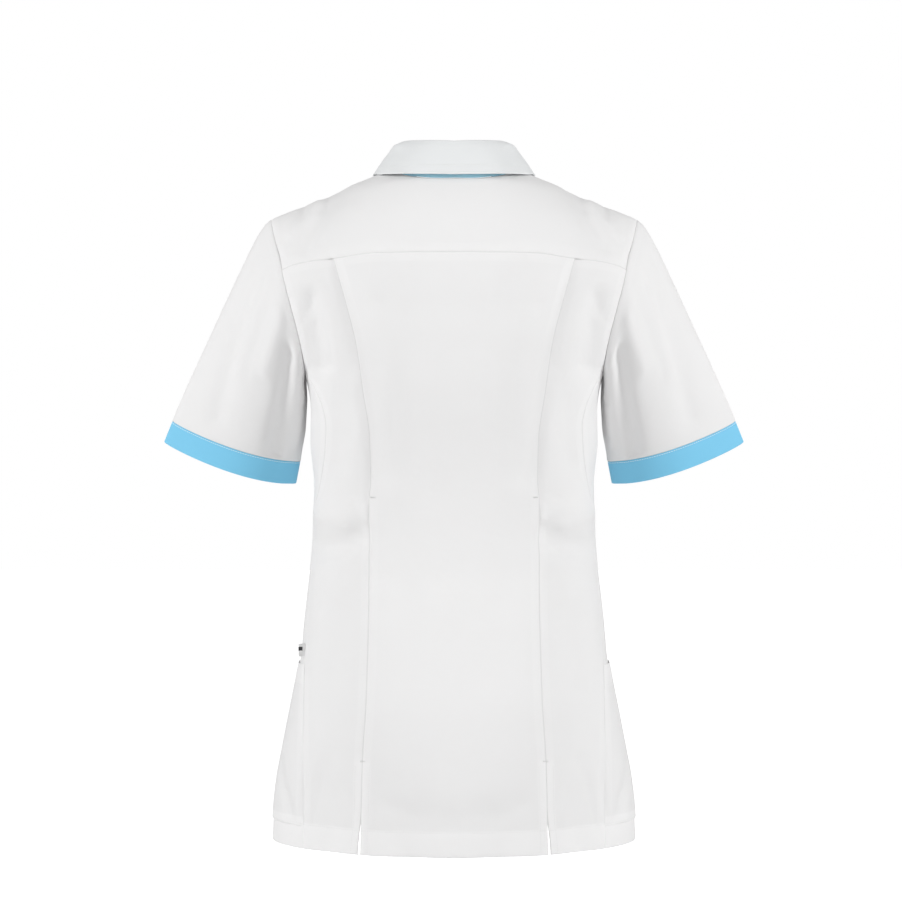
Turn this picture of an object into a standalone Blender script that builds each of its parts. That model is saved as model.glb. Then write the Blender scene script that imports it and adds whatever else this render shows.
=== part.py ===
# Medical tunic, worn form, in metres. The front faces -Y, up is +Z and +X is the wearer's left.
# The origin is the centre of the neck opening, level with the shoulders.
import math
from bisect import bisect_right

import bmesh
import bpy
from mathutils import Matrix, Vector

WALL = 0.0014  # cloth with its seam allowances
GAP = 0.0003  # between pieces at a seam
HEM = -0.700  # height of the hem
UNDERARM = -0.2063  # height where the side seam meets the armhole
BACK_BASE = -0.135  # above this height the back rounds over to the shoulder
SQUARENESS = 2.3  # power of the body rings, 2 is an ellipse
HEM_SQUARENESS = 1.75  # the hem's ring is flatter towards the side seams
HIP = -0.50  # the rings change shape from here down
PLEAT_END = -0.335  # foot of the action pleats
PLEAT_LAP = 0.012  # how far a side back runs under the centre back
VENT_TOP = -0.6035
VENT_GAP = 0.0030  # opening of a vent at the hem
VENT_OPEN = -0.6500  # below this height the vent stands open
FLY_LAP = 0.015  # each front runs past the centre by this
FLY_STEP = (0.030, 0.055)  # where the under front steps down below the upper one
NECK_HALF = 0.066
NECK_BACK = 0.0585
NECK_SQUARENESS = 3.0  # of the neckline behind, 2 is an ellipse
NECK_FRONT = 0.068
NECK_CORNER = math.radians(112)  # from the nape round to the shoulder seam
YOKE_NECK_SHARE = 0.42  # share of the yoke's columns that end on the neckline
FRONT_NECK_SHARE = 0.34
SLEEVE_SWING = math.radians(12)  # forward
SLEEVE_SPREAD = math.radians(17.4)  # sideways from straight down
CUFF_CENTRE = Vector((0.2331, -0.0320, -0.2782))
CUFF_HALF_WIDTH = 0.0721
CUFF_FRONT_DEPTH = 0.0490
CUFF_BACK_DEPTH = 0.0370
CUFF_FLARE = 0.0025
CUFF_FRONT_CREASE = 1.8  # 1 is an ellipse, more draws its ends out to a pressed crease
CUFF_BACK_CREASE = 1.5
CUFF_SKEW = 0.4  # the band is fuller behind on the side next to the body
CUFF_DROP = 0.0015  # its edge hangs lower on the outer half
CUFF_DROP_SHARE = 0.3
CUFF_BAND = 0.025
CAP_BULGE = 0.0090  # how far the sleeve head stands out past the armhole
UNDERARM_SAG = 0.0036  # how far the sleeve's inner side hangs towards the body
POCKET_GAPE = 0.002
POCKET_START = 0.06
POCKET_SHUT = 2.5  # more keeps the mouth closer to the front by the side seam
POCKET_LOOSE = 0.72  # share of the pocket's height from where it stands off
TAB_HEIGHT = 0.0135
TAB_REACH = 0.0075
TAB_TOP = -0.4900
SEAM_STEP = 1e-3  # share of a panel over which its slope is measured


class Table:
    """Rows with named columns, read anywhere between the rows along a smooth curve."""

    def __init__(self, names, rows):
        self.columns = {name: [row[i] for row in rows] for i, name in enumerate(names.split())}
        self.keys = self.columns[names.split()[0]]

    def at(self, name, key):
        keys, values = self.keys, self.columns[name]
        if key <= keys[0]:
            return values[0]
        if key >= keys[-1]:
            return values[-1]
        i = bisect_right(keys, key) - 1
        span = keys[i + 1] - keys[i]
        t = (key - keys[i]) / span
        start, end = self.slope(values, i) * span, self.slope(values, i + 1) * span
        return (
            values[i] * (2 * t**3 - 3 * t**2 + 1)
            + start * (t**3 - 2 * t**2 + t)
            + values[i + 1] * (3 * t**2 - 2 * t**3)
            + end * (t**3 - t**2)
        )

    def slope(self, values, i):
        keys = self.keys
        if i == 0:
            return (values[1] - values[0]) / (keys[1] - keys[0])
        if i == len(keys) - 1:
            return (values[-1] - values[-2]) / (keys[-1] - keys[-2])
        before = (values[i] - values[i - 1]) / (keys[i] - keys[i - 1])
        after = (values[i + 1] - values[i]) / (keys[i + 1] - keys[i])
        return 2 * before * after / (before + after) if before * after > 0 else 0.0


# Rings of the body: height, half width, and depth behind and in front of the middle
BODY = Table("z half back front", [
    (-0.700, 0.1920, 0.130, 0.128),
    (-0.665, 0.1906, 0.130, 0.127),
    (-0.633, 0.1870, 0.129, 0.126),
    (-0.601, 0.1810, 0.128, 0.124),
    (-0.553, 0.1715, 0.124, 0.120),
    (-0.506, 0.1620, 0.116, 0.116),
    (-0.474, 0.1592, 0.110, 0.113),
    (-0.442, 0.1558, 0.104, 0.110),
    (-0.410, 0.1520, 0.098, 0.110),
    (-0.363, 0.1490, 0.095, 0.112),
    (-0.325, 0.1480, 0.096, 0.118),
    (-0.278, 0.1520, 0.100, 0.127),
    (-0.246, 0.1514, 0.104, 0.133),
    (-0.206, 0.1583, 0.107, 0.135),
    (-0.193, 0.1645, 0.107, 0.135),
    (-0.1726, 0.1738, 0.107, 0.135),
    (-0.135, 0.1895, 0.105, 0.135),
    (-0.110, 0.1950, 0.105, 0.135),
    (-0.044, 0.1970, 0.105, 0.135),
])

# Half width that the front panels follow above the underarm
CHEST = Table("z half", [
    (-0.206, 0.1583),
    (-0.190, 0.1665),
    (-0.170, 0.1720),
    (-0.130, 0.1790),
    (-0.090, 0.1900),
    (-0.045, 0.1970),
])

# Height of the shoulder line across the body, as the back and as the front reach it
RIDGE = Table("x back front", [
    (0.000, 0.0200, -0.0360),
    (0.030, 0.0190, -0.0170),
    (0.050, 0.0160, 0.0040),
    (0.060, 0.0125, 0.0125),
    (0.070, 0.0085, 0.0085),
    (0.090, -0.0005, -0.0005),
    (0.108, -0.0077, -0.0077),
    (0.120, -0.0138, -0.0138),
    (0.145, -0.0246, -0.0246),
    (0.170, -0.0343, -0.0343),
    (0.195, -0.0450, -0.0450),
    (0.201, -0.0500, -0.0500),
])

# Seams of the back: height and distance from the centre
PRINCESS = Table("z x", [
    (-0.700, 0.0954),
    (-0.600, 0.0929),
    (-0.541, 0.0892),
    (-0.440, 0.0873),
    (-0.342, 0.0874),
    (-0.319, 0.0858),
    (-0.278, 0.0865),
    (-0.227, 0.0933),
    (-0.181, 0.0999),
    (-0.135, 0.1113),
    (-0.0907, 0.1242),
])
SIDE_SEAM = Table("z x", [
    (-0.700, 0.1560),
    (-0.611, 0.1560),
    (-0.485, 0.1556),
    (-0.442, 0.1535),
    (-0.410, 0.1512),
    (-0.387, 0.1498),
    (-0.351, 0.1468),
    (-0.340, 0.1436),
    (-0.325, 0.1402),
    (-0.307, 0.1369),
    (-0.287, 0.1345),
    (-0.262, 0.1333),
    (-0.240, 0.1380),
    (-0.220, 0.1480),
    (-0.2063, 0.1562),
])
ARMHOLE_BACK = Table("z x", [
    (-0.2063, 0.1562),
    (-0.193, 0.1577),
    (-0.1726, 0.1613),
    (-0.1396, 0.1695),
    (-0.1102, 0.1772),
    (-0.089, 0.1814),
    (-0.0756, 0.1857),
    (-0.0475, 0.1929),
    (-0.0438, 0.1935),
])
YOKE_SEAM = Table("x z", [
    (0.000, -0.0858),
    (0.080, -0.0860),
    (0.124, -0.0912),
    (0.148, -0.0930),
    (0.168, -0.0964),
    (0.179, -0.1004),
])

# Front half of the armhole, from the side seam up: rise is 0 at the underarm and 1 on the shoulder,
# and angle goes round the body, 0 at its side and -90 at the front
ARMHOLE_FRONT = Table("share rise angle", [
    (0.000, 0.000, 10.0),
    (0.057, 0.001, 4.0),
    (0.134, 0.003, -2.5),
    (0.232, 0.014, -11.5),
    (0.289, 0.040, -16.7),
    (0.358, 0.085, -22.3),
    (0.428, 0.150, -25.8),
    (0.521, 0.240, -28.0),
    (0.619, 0.340, -28.0),
    (0.731, 0.460, -27.5),
    (0.870, 0.580, -22.6),
    (0.951, 0.700, -17.6),
    (1.000, 0.800, -15.2),
])

# Front shoulder seam, from the neck to the armhole
FRONT_SEAM = Table("share x rise", [
    (0.0, 0.0584, 0.876),
    (0.5, 0.1250, 0.808),
    (1.0, 0.1905, 0.800),
])

# Collar round the neck: angle from the nape, height of the fold line, and the leaf's edge
COLLAR = Table("angle fold_z edge_x edge_y edge_z", [
    (0, 0.0334, 0.000, 0.0655, -0.0028),
    (30, 0.0349, 0.043, 0.0610, -0.0018),
    (60, 0.0361, 0.0735, 0.0385, 0.0002),
    (90, 0.0359, 0.0862, 0.0000, 0.0026),
    (120, 0.0247, 0.083, -0.0400, -0.0080),
    (150, -0.0161, 0.072, -0.0830, -0.0480),
    (174, -0.0425, 0.050, -0.1100, -0.0900),
])
FOLD_HALF = 0.0575
FOLD_BACK = 0.0500
FOLD_FRONT = 0.0600
LEAF_CLEAR = (0.0026, 0.0044)  # the leaf's outer face over the cloth below it, behind and in front
LEAF_TURN = 0.3  # the turn of the shoulder, in radians, from where the front figure holds
STAND_TOP = 0.0035  # the stand ends this far below the fold line
STAND_FOOT = (0.0012, 0.0024)  # clear of the neckline behind and in front
STAND_LIFT = (2.1, 2.6)  # angles from the nape between which its foot lifts

# Large soft folds of the body, from one end to the other as seen from behind or in front
FOLDS_BACK = Table("x z to_x to_z width depth", [
    (0.056, -0.120, 0.072, -0.310, 0.016, -0.0025),
    (0.100, -0.375, 0.140, -0.395, 0.012, -0.0045),
    (0.105, -0.350, 0.138, -0.352, 0.011, 0.0030),
    (0.116, -0.250, 0.120, -0.300, 0.012, -0.0025),
    (0.118, -0.455, 0.124, -0.520, 0.016, -0.0030),
    (0.134, -0.640, 0.128, -0.690, 0.016, -0.0035),
    (0.148, -0.130, 0.136, -0.200, 0.010, -0.0055),
])
FOLDS_FRONT = Table("x z to_x to_z width depth", [
    (0.060, -0.260, 0.052, -0.420, 0.020, -0.0050),
    (0.110, -0.350, 0.145, -0.370, 0.012, -0.0040),
    (0.100, -0.480, 0.092, -0.690, 0.020, -0.0050),
    (0.135, -0.190, 0.108, -0.150, 0.013, -0.0045),
    (0.176, -0.610, 0.164, -0.690, 0.012, -0.0045),
])
# Folds of a sleeve: start and end along it and round it (degrees from its top, backwards)
FOLDS_SLEEVE = Table("start turn end to_turn width depth", [
    (0.18, 118, 0.95, 138, 0.011, -0.0070),
    (0.20, 40, 0.85, 62, 0.014, -0.0030),
    (0.10, 92, 0.42, 96, 0.010, 0.0035),
    (0.25, -110, 0.90, -135, 0.012, -0.0060),
    (0.20, -45, 0.80, -60, 0.014, -0.0030),
])


def lerp(start, end, share):
    return start + (end - start) * share


def smoothstep(low, high, value):
    t = min(1.0, max(0.0, (value - low) / (high - low)))
    return t * t * (3 - 2 * t)


def power(value, exponent):
    return math.copysign(abs(value) ** exponent, value)


# The body's surface

def squareness(z):
    return lerp(HEM_SQUARENESS, SQUARENESS, smoothstep(HEM, HIP, z))


def ring_angle(x, half, square=SQUARENESS):
    # 0 where the ring is widest, 90 degrees at the centre
    return math.acos(min(1.0, abs(x) / half) ** (square / 2))


def fullness(x, half, square=SQUARENESS):
    return max(0.0, 1 - min(1.0, abs(x) / half) ** square) ** (1 / square)


def body_ring(angle, z):
    # angle is positive behind and negative in front
    depth = BODY.at("back" if angle > 0 else "front", z)
    x = BODY.at("half", z) * power(math.cos(angle), 2 / squareness(z))
    return Vector((x, depth * power(math.sin(angle), 2 / squareness(z)), z))


def back_surface(x, z):
    half = BODY.at("half", z)
    if z <= BACK_BASE:
        return Vector((x, BODY.at("back", z) * fullness(x, half, squareness(z)), z))
    rise = min(1.0, (z - BACK_BASE) / (RIDGE.at("back", abs(x)) - BACK_BASE))
    y = BODY.at("back", BACK_BASE) * fullness(x, half) * math.sqrt(1 - rise * rise)
    return Vector((x, y, z))


def shoulder_surface(x, turn):
    # turn is 0 on the shoulder line, 90 degrees at the foot of the back and -90 at the underarm in front
    if turn >= 0:
        z = lerp(BACK_BASE, RIDGE.at("back", abs(x)), math.cos(turn))
        depth, half = BODY.at("back", BACK_BASE), BODY.at("half", z)
    else:
        z = lerp(UNDERARM, RIDGE.at("front", abs(x)), math.cos(turn))
        depth, half = BODY.at("front", UNDERARM), CHEST.at("half", z)
    return Vector((x, depth * fullness(x, half) * math.sin(turn), z))


def chest_surface(angle, rise):
    # angle goes round the body and rise from the underarm to the shoulder
    half = CHEST.at("half", UNDERARM)
    for _ in range(3):
        x = half * power(math.cos(angle), 2 / SQUARENESS)
        z = lerp(UNDERARM, RIDGE.at("front", abs(x)), math.sin(rise * math.pi / 2))
        half = CHEST.at("half", z)
    depth = BODY.at("back" if angle > 0 else "front", UNDERARM)
    y = depth * power(math.sin(angle), 2 / SQUARENESS) * math.cos(rise * math.pi / 2)
    return Vector((x, y, z))


def neck_point(angle):
    # the neck hole from above, rather square behind and round in front
    across = abs(math.sin(angle))
    if math.cos(angle) > 0:
        y = NECK_BACK * (1 - across**NECK_SQUARENESS) ** (1 / NECK_SQUARENESS)
    else:
        y = NECK_FRONT * math.cos(angle)
    return NECK_HALF * math.sin(angle), y


def neckline(angle):
    # angle from the nape, positive to the wearer's left
    x, y = neck_point(angle)
    return shoulder_surface(x, neck_turn(x, y))


def neck_turn(x, y):
    # the turn over the shoulder at which the surface is y from the middle
    turn = 0.0
    for _ in range(4):
        depth = BODY.at("back", BACK_BASE) if y > 0 else BODY.at("front", UNDERARM)
        z = shoulder_surface(x, turn if turn else math.copysign(1e-6, y)).z
        half = BODY.at("half", z) if y > 0 else CHEST.at("half", z)
        turn = math.asin(max(-1.0, min(1.0, y / (depth * fullness(x, half)))))
    return turn


def armhole_back_point(z):
    x = ARMHOLE_BACK.at("x", z)
    if z >= RIDGE.at("back", x):
        return Vector((x, 0.0, RIDGE.at("back", x)))
    return back_surface(x, z)


def armhole_front_point(share):
    angle = math.radians(ARMHOLE_FRONT.at("angle", share))
    return chest_surface(angle, ARMHOLE_FRONT.at("rise", share))


def armhole_loop(count):
    # from the shoulder line down the back, under the arm and up the front, evenly spaced
    top, foot = ARMHOLE_BACK.keys[-1], ARMHOLE_BACK.keys[0]
    points = [armhole_back_point(lerp(top, foot, math.sin(i / 60 * math.pi / 2) ** 2)) for i in range(61)]
    points += [armhole_front_point(i / 60) for i in range(1, 61)]
    seam_end = points[-1]
    points += [seam_end.lerp(points[0], i / 5) for i in range(1, 6)]
    lengths = [0.0]
    for a, b in zip(points, points[1:]):
        lengths.append(lengths[-1] + (b - a).length)
    even = []
    for i in range(count):
        at = lengths[-1] * i / count
        j = min(bisect_right(lengths, at) - 1, len(points) - 2)
        even.append(points[j].lerp(points[j + 1], (at - lengths[j]) / (lengths[j + 1] - lengths[j])))
    return even


ARMHOLE_SAMPLES = 96
ARMHOLE = armhole_loop(ARMHOLE_SAMPLES)
ARMHOLE_CENTRE = sum(ARMHOLE, Vector()) / ARMHOLE_SAMPLES


def armhole(share):
    at = (share % 1.0) * ARMHOLE_SAMPLES
    i = int(at) % ARMHOLE_SAMPLES
    return ARMHOLE[i].lerp(ARMHOLE[(i + 1) % ARMHOLE_SAMPLES], at - int(at))


def armhole_distance(point):
    mirrored = Vector((abs(point.x), point.y, point.z))
    return min((mirrored - p).length for p in ARMHOLE)


# Folds and seam edges

def segment_distance(x, z, ends):
    dx, dz = ends[2] - ends[0], ends[3] - ends[1]
    along = ((x - ends[0]) * dx + (z - ends[1]) * dz) / (dx * dx + dz * dz)
    along = min(1.0, max(0.0, along))
    return math.hypot(x - ends[0] - dx * along, z - ends[1] - dz * along)


def fold_height(table, a, b):
    names = list(table.columns)
    total = 0.0
    for row in zip(*(table.columns[name] for name in names)):
        total += row[5] * math.exp(-((segment_distance(a, b, row[:4]) / row[4]) ** 2))
    return total


def body_fold(point):
    table = FOLDS_BACK if point.y > 0 else FOLDS_FRONT
    fade = smoothstep(0.0, 0.03, abs(point.y)) * smoothstep(0.002, 0.016, armhole_distance(point))
    return fold_height(table, abs(point.x), point.z) * fade


def seam_rim(point, outward):
    # pieces that meet at the armhole end on one slanted face, which points into the armhole
    inward = (ARMHOLE_CENTRE - Vector((abs(point.x), point.y, point.z))).normalized()
    inward.x = math.copysign(1, point.x) * inward.x
    low = smoothstep(ARMHOLE_CENTRE.z, UNDERARM, point.z)
    return (inward - outward * lerp(0.12, 0.9, low)).normalized()


# Walls: a flat slab whose two faces are carried to the outside and the inside of a panel

def outward_at(surface, inside, u, w, closed):
    point = surface(u, w)
    if closed:
        across = surface(u + SEAM_STEP, w) - surface(u - SEAM_STEP, w)
    else:
        across = surface(min(u + SEAM_STEP, 1), w) - surface(max(u - SEAM_STEP, 0), w)
    along = surface(u, min(w + SEAM_STEP, 1)) - surface(u, max(w - SEAM_STEP, 0))
    normal = across.cross(along).normalized()
    return normal if normal.dot(point - inside(point)) > 0 else -normal


def wall(name, grid, surface, inside, look, closed=False, inset=(0, 1, 0, 1), fold=None, rim=None):
    mesh = bmesh.new()
    bmesh.ops.create_grid(mesh, x_segments=grid[0], y_segments=grid[1], size=0.5)
    grown = bmesh.ops.extrude_face_region(mesh, geom=mesh.faces[:], use_keep_orig=True)
    for item in grown["geom"]:
        if isinstance(item, bmesh.types.BMVert):
            item.co.z = -1
    if closed:
        ends = [f for f in mesh.faces if abs(abs(f.calc_center_median().x) - 0.5) < 1e-6]
        bmesh.ops.delete(mesh, geom=ends, context="FACES_ONLY")
    found = {}
    for vert in mesh.verts:
        key = (round(vert.co.x + 0.5, 6), round(vert.co.y + 0.5, 6))
        if key not in found:
            u, w = lerp(inset[0], inset[1], key[0]), lerp(inset[2], inset[3], key[1])
            u = u % 1.0 if closed else u
            point = surface(u, w)
            outward = outward_at(surface, inside, u, w, closed)
            inward = -outward
            if rim and rim(*key):
                inward = seam_rim(point, outward)
            outer = point + outward * (fold(point, u, w) if fold else 0.0)
            found[key] = (outer, outer + inward * WALL)
        vert.co = found[key][0 if vert.co.z > -0.5 else 1]
    if closed:
        bmesh.ops.remove_doubles(mesh, verts=mesh.verts[:], dist=1e-6)
    finish(name, mesh, look)


def finish(name, mesh, look):
    bmesh.ops.recalc_face_normals(mesh, faces=mesh.faces[:])
    if mesh.calc_volume(signed=True) < 0:
        bmesh.ops.reverse_faces(mesh, faces=mesh.faces[:])
    data = bpy.data.meshes.new(name)
    mesh.to_mesh(data)
    mesh.free()
    data.shade_smooth()
    data.set_sharp_from_angle(angle=math.radians(50))
    data.materials.append(look)
    bpy.context.scene.collection.objects.link(bpy.data.objects.new(name, data))


def mirrored(surface):
    def other(u, w):
        point = surface(u, w)
        return Vector((-point.x, point.y, point.z))
    return other


def torso_inside(point):
    return Vector((point.x / 2, 0.0, min(point.z, -0.1)))


# Panels: u runs across from the centre, w runs up from the hem

BACK_ROWS = (21, 6)  # below and above the underarm
FRONT_ROWS = (21, 11)
FRONT_COLUMNS = 16
YOKE_COLUMNS = 36


def pleat_lap(z):
    return PLEAT_LAP * smoothstep(PLEAT_END - 0.012, PLEAT_END + 0.004, z)


def pleat_depth(z):
    return (WALL + 2 * GAP) * smoothstep(PLEAT_END - 0.065, PLEAT_END - 0.022, z)


def split_height(w, rows, top):
    split = rows[0] / sum(rows)
    if w <= split:
        return lerp(HEM, UNDERARM, w / split)
    return lerp(UNDERARM, top, (w - split) / (1 - split))


def back_panel_point(x_from, x_to, z, share):
    half, square = BODY.at("half", z), squareness(z)
    angle = lerp(ring_angle(x_from, half, square), ring_angle(x_to, half, square), share)
    return back_surface(half * power(math.cos(angle), 2 / square), z)


def back_centre(u, w):
    side = 2 * u - 1
    seam_z = PRINCESS.keys[-1]
    seam_x = back_panel_point(0.0, PRINCESS.at("x", seam_z), seam_z, abs(side)).x
    z = split_height(w, BACK_ROWS, YOKE_SEAM.at("z", seam_x))
    point = back_panel_point(0.0, PRINCESS.at("x", z), z, abs(side))
    return Vector((math.copysign(point.x, side), point.y, point.z))


def back_side(u, w):
    seam_z = lerp(PRINCESS.keys[-1], YOKE_SEAM.columns["z"][-1], u)
    lapped = PRINCESS.at("x", seam_z) - PLEAT_LAP
    seam_x = back_panel_point(lapped, YOKE_SEAM.keys[-1], seam_z, u).x
    z = split_height(w, BACK_ROWS, YOKE_SEAM.at("z", seam_x))
    vent = VENT_GAP * smoothstep(VENT_OPEN, HEM, z)
    inner = PRINCESS.at("x", z) + vent - pleat_lap(z)
    outer = SIDE_SEAM.at("x", z) if z <= UNDERARM else ARMHOLE_BACK.at("x", z)
    return back_panel_point(inner, outer, z, u)


def back_side_fold(point, u, w):
    beside = abs(point.x) - PRINCESS.at("x", point.z)
    return body_fold(point) - pleat_depth(point.z) * (1 - smoothstep(0.0, 0.012, beside))


def front_top(u):
    # the neckline and then the shoulder seam: angle round the body and rise
    if u < FRONT_NECK_SHARE:
        start = -math.asin(FLY_LAP / NECK_HALF)
        turn = lerp(start, math.pi - NECK_CORNER, u / FRONT_NECK_SHARE)
        x, y = NECK_HALF * math.sin(turn), -NECK_FRONT * math.cos(turn)
        over = neck_turn(x, y)
        rise = 1 + over / (math.pi / 2)
    else:
        share = (u - FRONT_NECK_SHARE) / (1 - FRONT_NECK_SHARE)
        x, rise = FRONT_SEAM.at("x", share), FRONT_SEAM.at("rise", share)
    z = lerp(UNDERARM, RIDGE.at("front", abs(x)), math.sin(rise * math.pi / 2))
    angle = ring_angle(x, CHEST.at("half", z))
    return (-angle if x > 0 else angle - math.pi), rise


def fly_angle(half, square=SQUARENESS):
    return ring_angle(FLY_LAP, half, square) - math.pi


def front(u, w):
    split = FRONT_ROWS[0] / sum(FRONT_ROWS)
    if w <= split:
        z = lerp(HEM, UNDERARM, w / split)
        half, square = BODY.at("half", z), squareness(z)
        return body_ring(lerp(fly_angle(half, square), ring_angle(SIDE_SEAM.at("x", z), half, square), u), z)
    share = (w - split) / (1 - split)
    edge_angle = math.radians(ARMHOLE_FRONT.at("angle", share))
    edge_rise = ARMHOLE_FRONT.at("rise", share) / ARMHOLE_FRONT.at("rise", 1)
    start = fly_angle(lerp(CHEST.at("half", UNDERARM), CHEST.at("half", -0.06), share))
    top_start, top_end = front_top(0)[0], front_top(1)[0]
    top_angle, top_rise = front_top(u)
    across = lerp(u, (top_angle - top_start) / (top_end - top_start), smoothstep(0, 1, share))
    rise = top_rise * lerp(share, edge_rise, u**3)
    return chest_surface(lerp(start, edge_angle, across), rise)


def fly_under(point, u, w):
    # the wearer's left front lies under the right one at the centre
    return body_fold(point) - (WALL + 5 * GAP) * (1 - smoothstep(*FLY_STEP, point.x))


def plain_fold(point, u, w):
    return body_fold(point)


def yoke(u, w):
    side = 2 * u - 1
    share = abs(side)
    seam_x = YOKE_SEAM.keys[-1] * share
    seam_rise = (YOKE_SEAM.at("z", seam_x) - BACK_BASE) / (RIDGE.at("back", seam_x) - BACK_BASE)
    seam_turn = math.acos(seam_rise)
    if share < YOKE_NECK_SHARE:
        angle = NECK_CORNER * share / YOKE_NECK_SHARE
        top_x, top_y = neck_point(angle)
        top_turn = neck_turn(top_x, top_y)
    else:
        along = (share - YOKE_NECK_SHARE) / (1 - YOKE_NECK_SHARE)
        top_x = FRONT_SEAM.at("x", along)
        top_turn = (FRONT_SEAM.at("rise", along) - 1) * math.pi / 2
    turn = lerp(seam_turn, top_turn, w)
    end_x, end_turn = FRONT_SEAM.at("x", 1), (FRONT_SEAM.at("rise", 1) - 1) * math.pi / 2
    if turn >= 0:
        edge_x = ARMHOLE_BACK.at("x", lerp(BACK_BASE, RIDGE.at("back", end_x), math.cos(turn)))
    else:
        edge_x = lerp(ARMHOLE_BACK.columns["x"][-1], end_x, turn / end_turn)
    across = lerp(share, top_x / end_x, smoothstep(0, 1, w))
    x = edge_x * across if share > YOKE_NECK_SHARE else lerp(seam_x, top_x, w)
    point = shoulder_surface(x, turn)
    return Vector((math.copysign(point.x, side), point.y, point.z))


# Sleeves

SLEEVE_AXIS = Vector((
    math.sin(SLEEVE_SPREAD) * math.cos(SLEEVE_SWING),
    -math.sin(SLEEVE_SWING),
    -math.cos(SLEEVE_SPREAD) * math.cos(SLEEVE_SWING),
))
SLEEVE_WIDE = Vector((math.cos(SLEEVE_SPREAD), 0.0, math.sin(SLEEVE_SPREAD)))
SLEEVE_DEEP = SLEEVE_WIDE.cross(SLEEVE_AXIS)


def cuff_ring(share, down):
    # down is 0 at the band's seam and 1 at its edge
    across, behind = math.cos(2 * math.pi * share), math.sin(2 * math.pi * share)
    if behind > 0:
        deep = (CUFF_BACK_DEPTH + CUFF_FLARE * down) * behind**CUFF_BACK_CREASE * (1 - CUFF_SKEW * across)
        drop = CUFF_DROP * behind * (CUFF_DROP_SHARE + across)
    else:
        deep = (CUFF_FRONT_DEPTH + CUFF_FLARE * down) * power(behind, CUFF_FRONT_CREASE)
        drop = 0.0
    wide = CUFF_HALF_WIDTH + CUFF_FLARE * down
    centre = CUFF_CENTRE + SLEEVE_AXIS * (CUFF_BAND * down + drop)
    return centre + SLEEVE_WIDE * wide * across + SLEEVE_DEEP * deep


def sleeve(u, w):
    start = armhole(u)
    out = Vector((start.x - ARMHOLE_CENTRE.x + 0.02, start.y * 0.6, start.z - ARMHOLE_CENTRE.z)).normalized()
    top = 0.5 + 0.5 * math.cos(2 * math.pi * u)
    bulge = CAP_BULGE * (0.25 + 0.75 * top * top) * (1 - math.exp(-w / 0.06)) * (1 - w) ** 0.6
    sag = UNDERARM_SAG * smoothstep(0.03, 0.35, w) * smoothstep(1.0, 0.6, w) * max(0.0, 1 - 4 * top)
    point = start.lerp(cuff_ring(u, 0), w) + out * bulge * (1 if top > 0.2 else 5 * top)
    return point - Vector((sag, 0, 0))


def sleeve_inside(point):
    share = (ARMHOLE_CENTRE.z - point.z) / (ARMHOLE_CENTRE.z - CUFF_CENTRE.z)
    side = math.copysign(1, point.x)
    centre = ARMHOLE_CENTRE.lerp(CUFF_CENTRE, min(1.1, max(0.0, share)))
    return Vector((side * centre.x, centre.y, centre.z))


def sleeve_fold(point, u, w):
    girth = lerp(0.43, 0.39, w) / 360
    length = 0.21
    turn = 360 * u if u <= 0.5 else 360 * u - 360
    total = 0.0
    for row in zip(*FOLDS_SLEEVE.columns.values()):
        ends = (row[0] * length, row[1] * girth, row[2] * length, row[3] * girth)
        total += row[5] * math.exp(-((segment_distance(w * length, turn * girth, ends) / row[4]) ** 2))
    return total * smoothstep(0.02, 0.14, w) * smoothstep(1.0, 0.9, w)


def cuff(u, w):
    return cuff_ring(u, w)


# Collar: u goes round the neck from the wearer's right end to the left end

COLLAR_END = 174


def collar_angle(u):
    return math.radians(COLLAR_END) * (2 * u - 1)


def fold_line(angle):
    x = FOLD_HALF * math.sin(angle)
    y = (FOLD_BACK if math.cos(angle) > 0 else FOLD_FRONT) * math.cos(angle)
    return Vector((x, y, COLLAR.at("fold_z", abs(math.degrees(angle)))))


def collar_stand(u, w):
    angle = collar_angle(u)
    clear = lerp(*STAND_FOOT, smoothstep(*STAND_LIFT, abs(angle)))
    foot = neckline(angle) + Vector((0, 0, clear))
    return foot.lerp(fold_line(angle) - Vector((0, 0, STAND_TOP)), w)


def leaf_floor(x, y):
    # lowest height of the leaf, clear of the cloth below it also where that is steep
    turn = neck_turn(x, y)
    clear = lerp(*LEAF_CLEAR, smoothstep(0, LEAF_TURN, -turn))
    return shoulder_surface(x, turn).z + clear / max(0.35, math.cos(turn))


def collar_leaf(u, w):
    angle = collar_angle(u)
    degrees = abs(math.degrees(angle))
    side = math.copysign(1, angle)
    start = fold_line(angle)
    edge = Vector([COLLAR.at(name, degrees) for name in ("edge_x", "edge_y", "edge_z")])
    edge.x *= side
    out = Vector((edge.x - start.x, edge.y - start.y, 0)).normalized()
    crest = start.lerp(edge, 0.30) + out * 0.0015 + Vector((0, 0, 0.007))
    point = start.lerp(crest, w).lerp(crest.lerp(edge, w), w)
    least = leaf_floor(point.x, point.y)
    return Vector((point.x, point.y, max(point.z, least) if w > 0.15 else point.z))


def collar_inside(point):
    return Vector((0.0, point.y * 0.2 - 0.004, point.z - 0.02))


# Pockets and tab

POCKET_COLUMNS = (4, FRONT_COLUMNS)  # of the front, which the pocket covers
POCKET_ROWS = (1, 8)


def pocket(u, w):
    # the front's own points, from the pocket's front edge to the side seam
    across = lerp(POCKET_COLUMNS[0] / FRONT_COLUMNS, 0.9975 * POCKET_COLUMNS[1] / FRONT_COLUMNS, u)
    return front(across, lerp(*POCKET_ROWS, w) / sum(FRONT_ROWS))


def pocket_fold(point, u, w):
    bulge = math.sin(math.pi * lerp(POCKET_START, 1, u)) ** POCKET_SHUT
    gape = POCKET_GAPE * bulge * smoothstep(POCKET_LOOSE, 1.0, w)
    return body_fold(point) + WALL + GAP + gape


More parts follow.
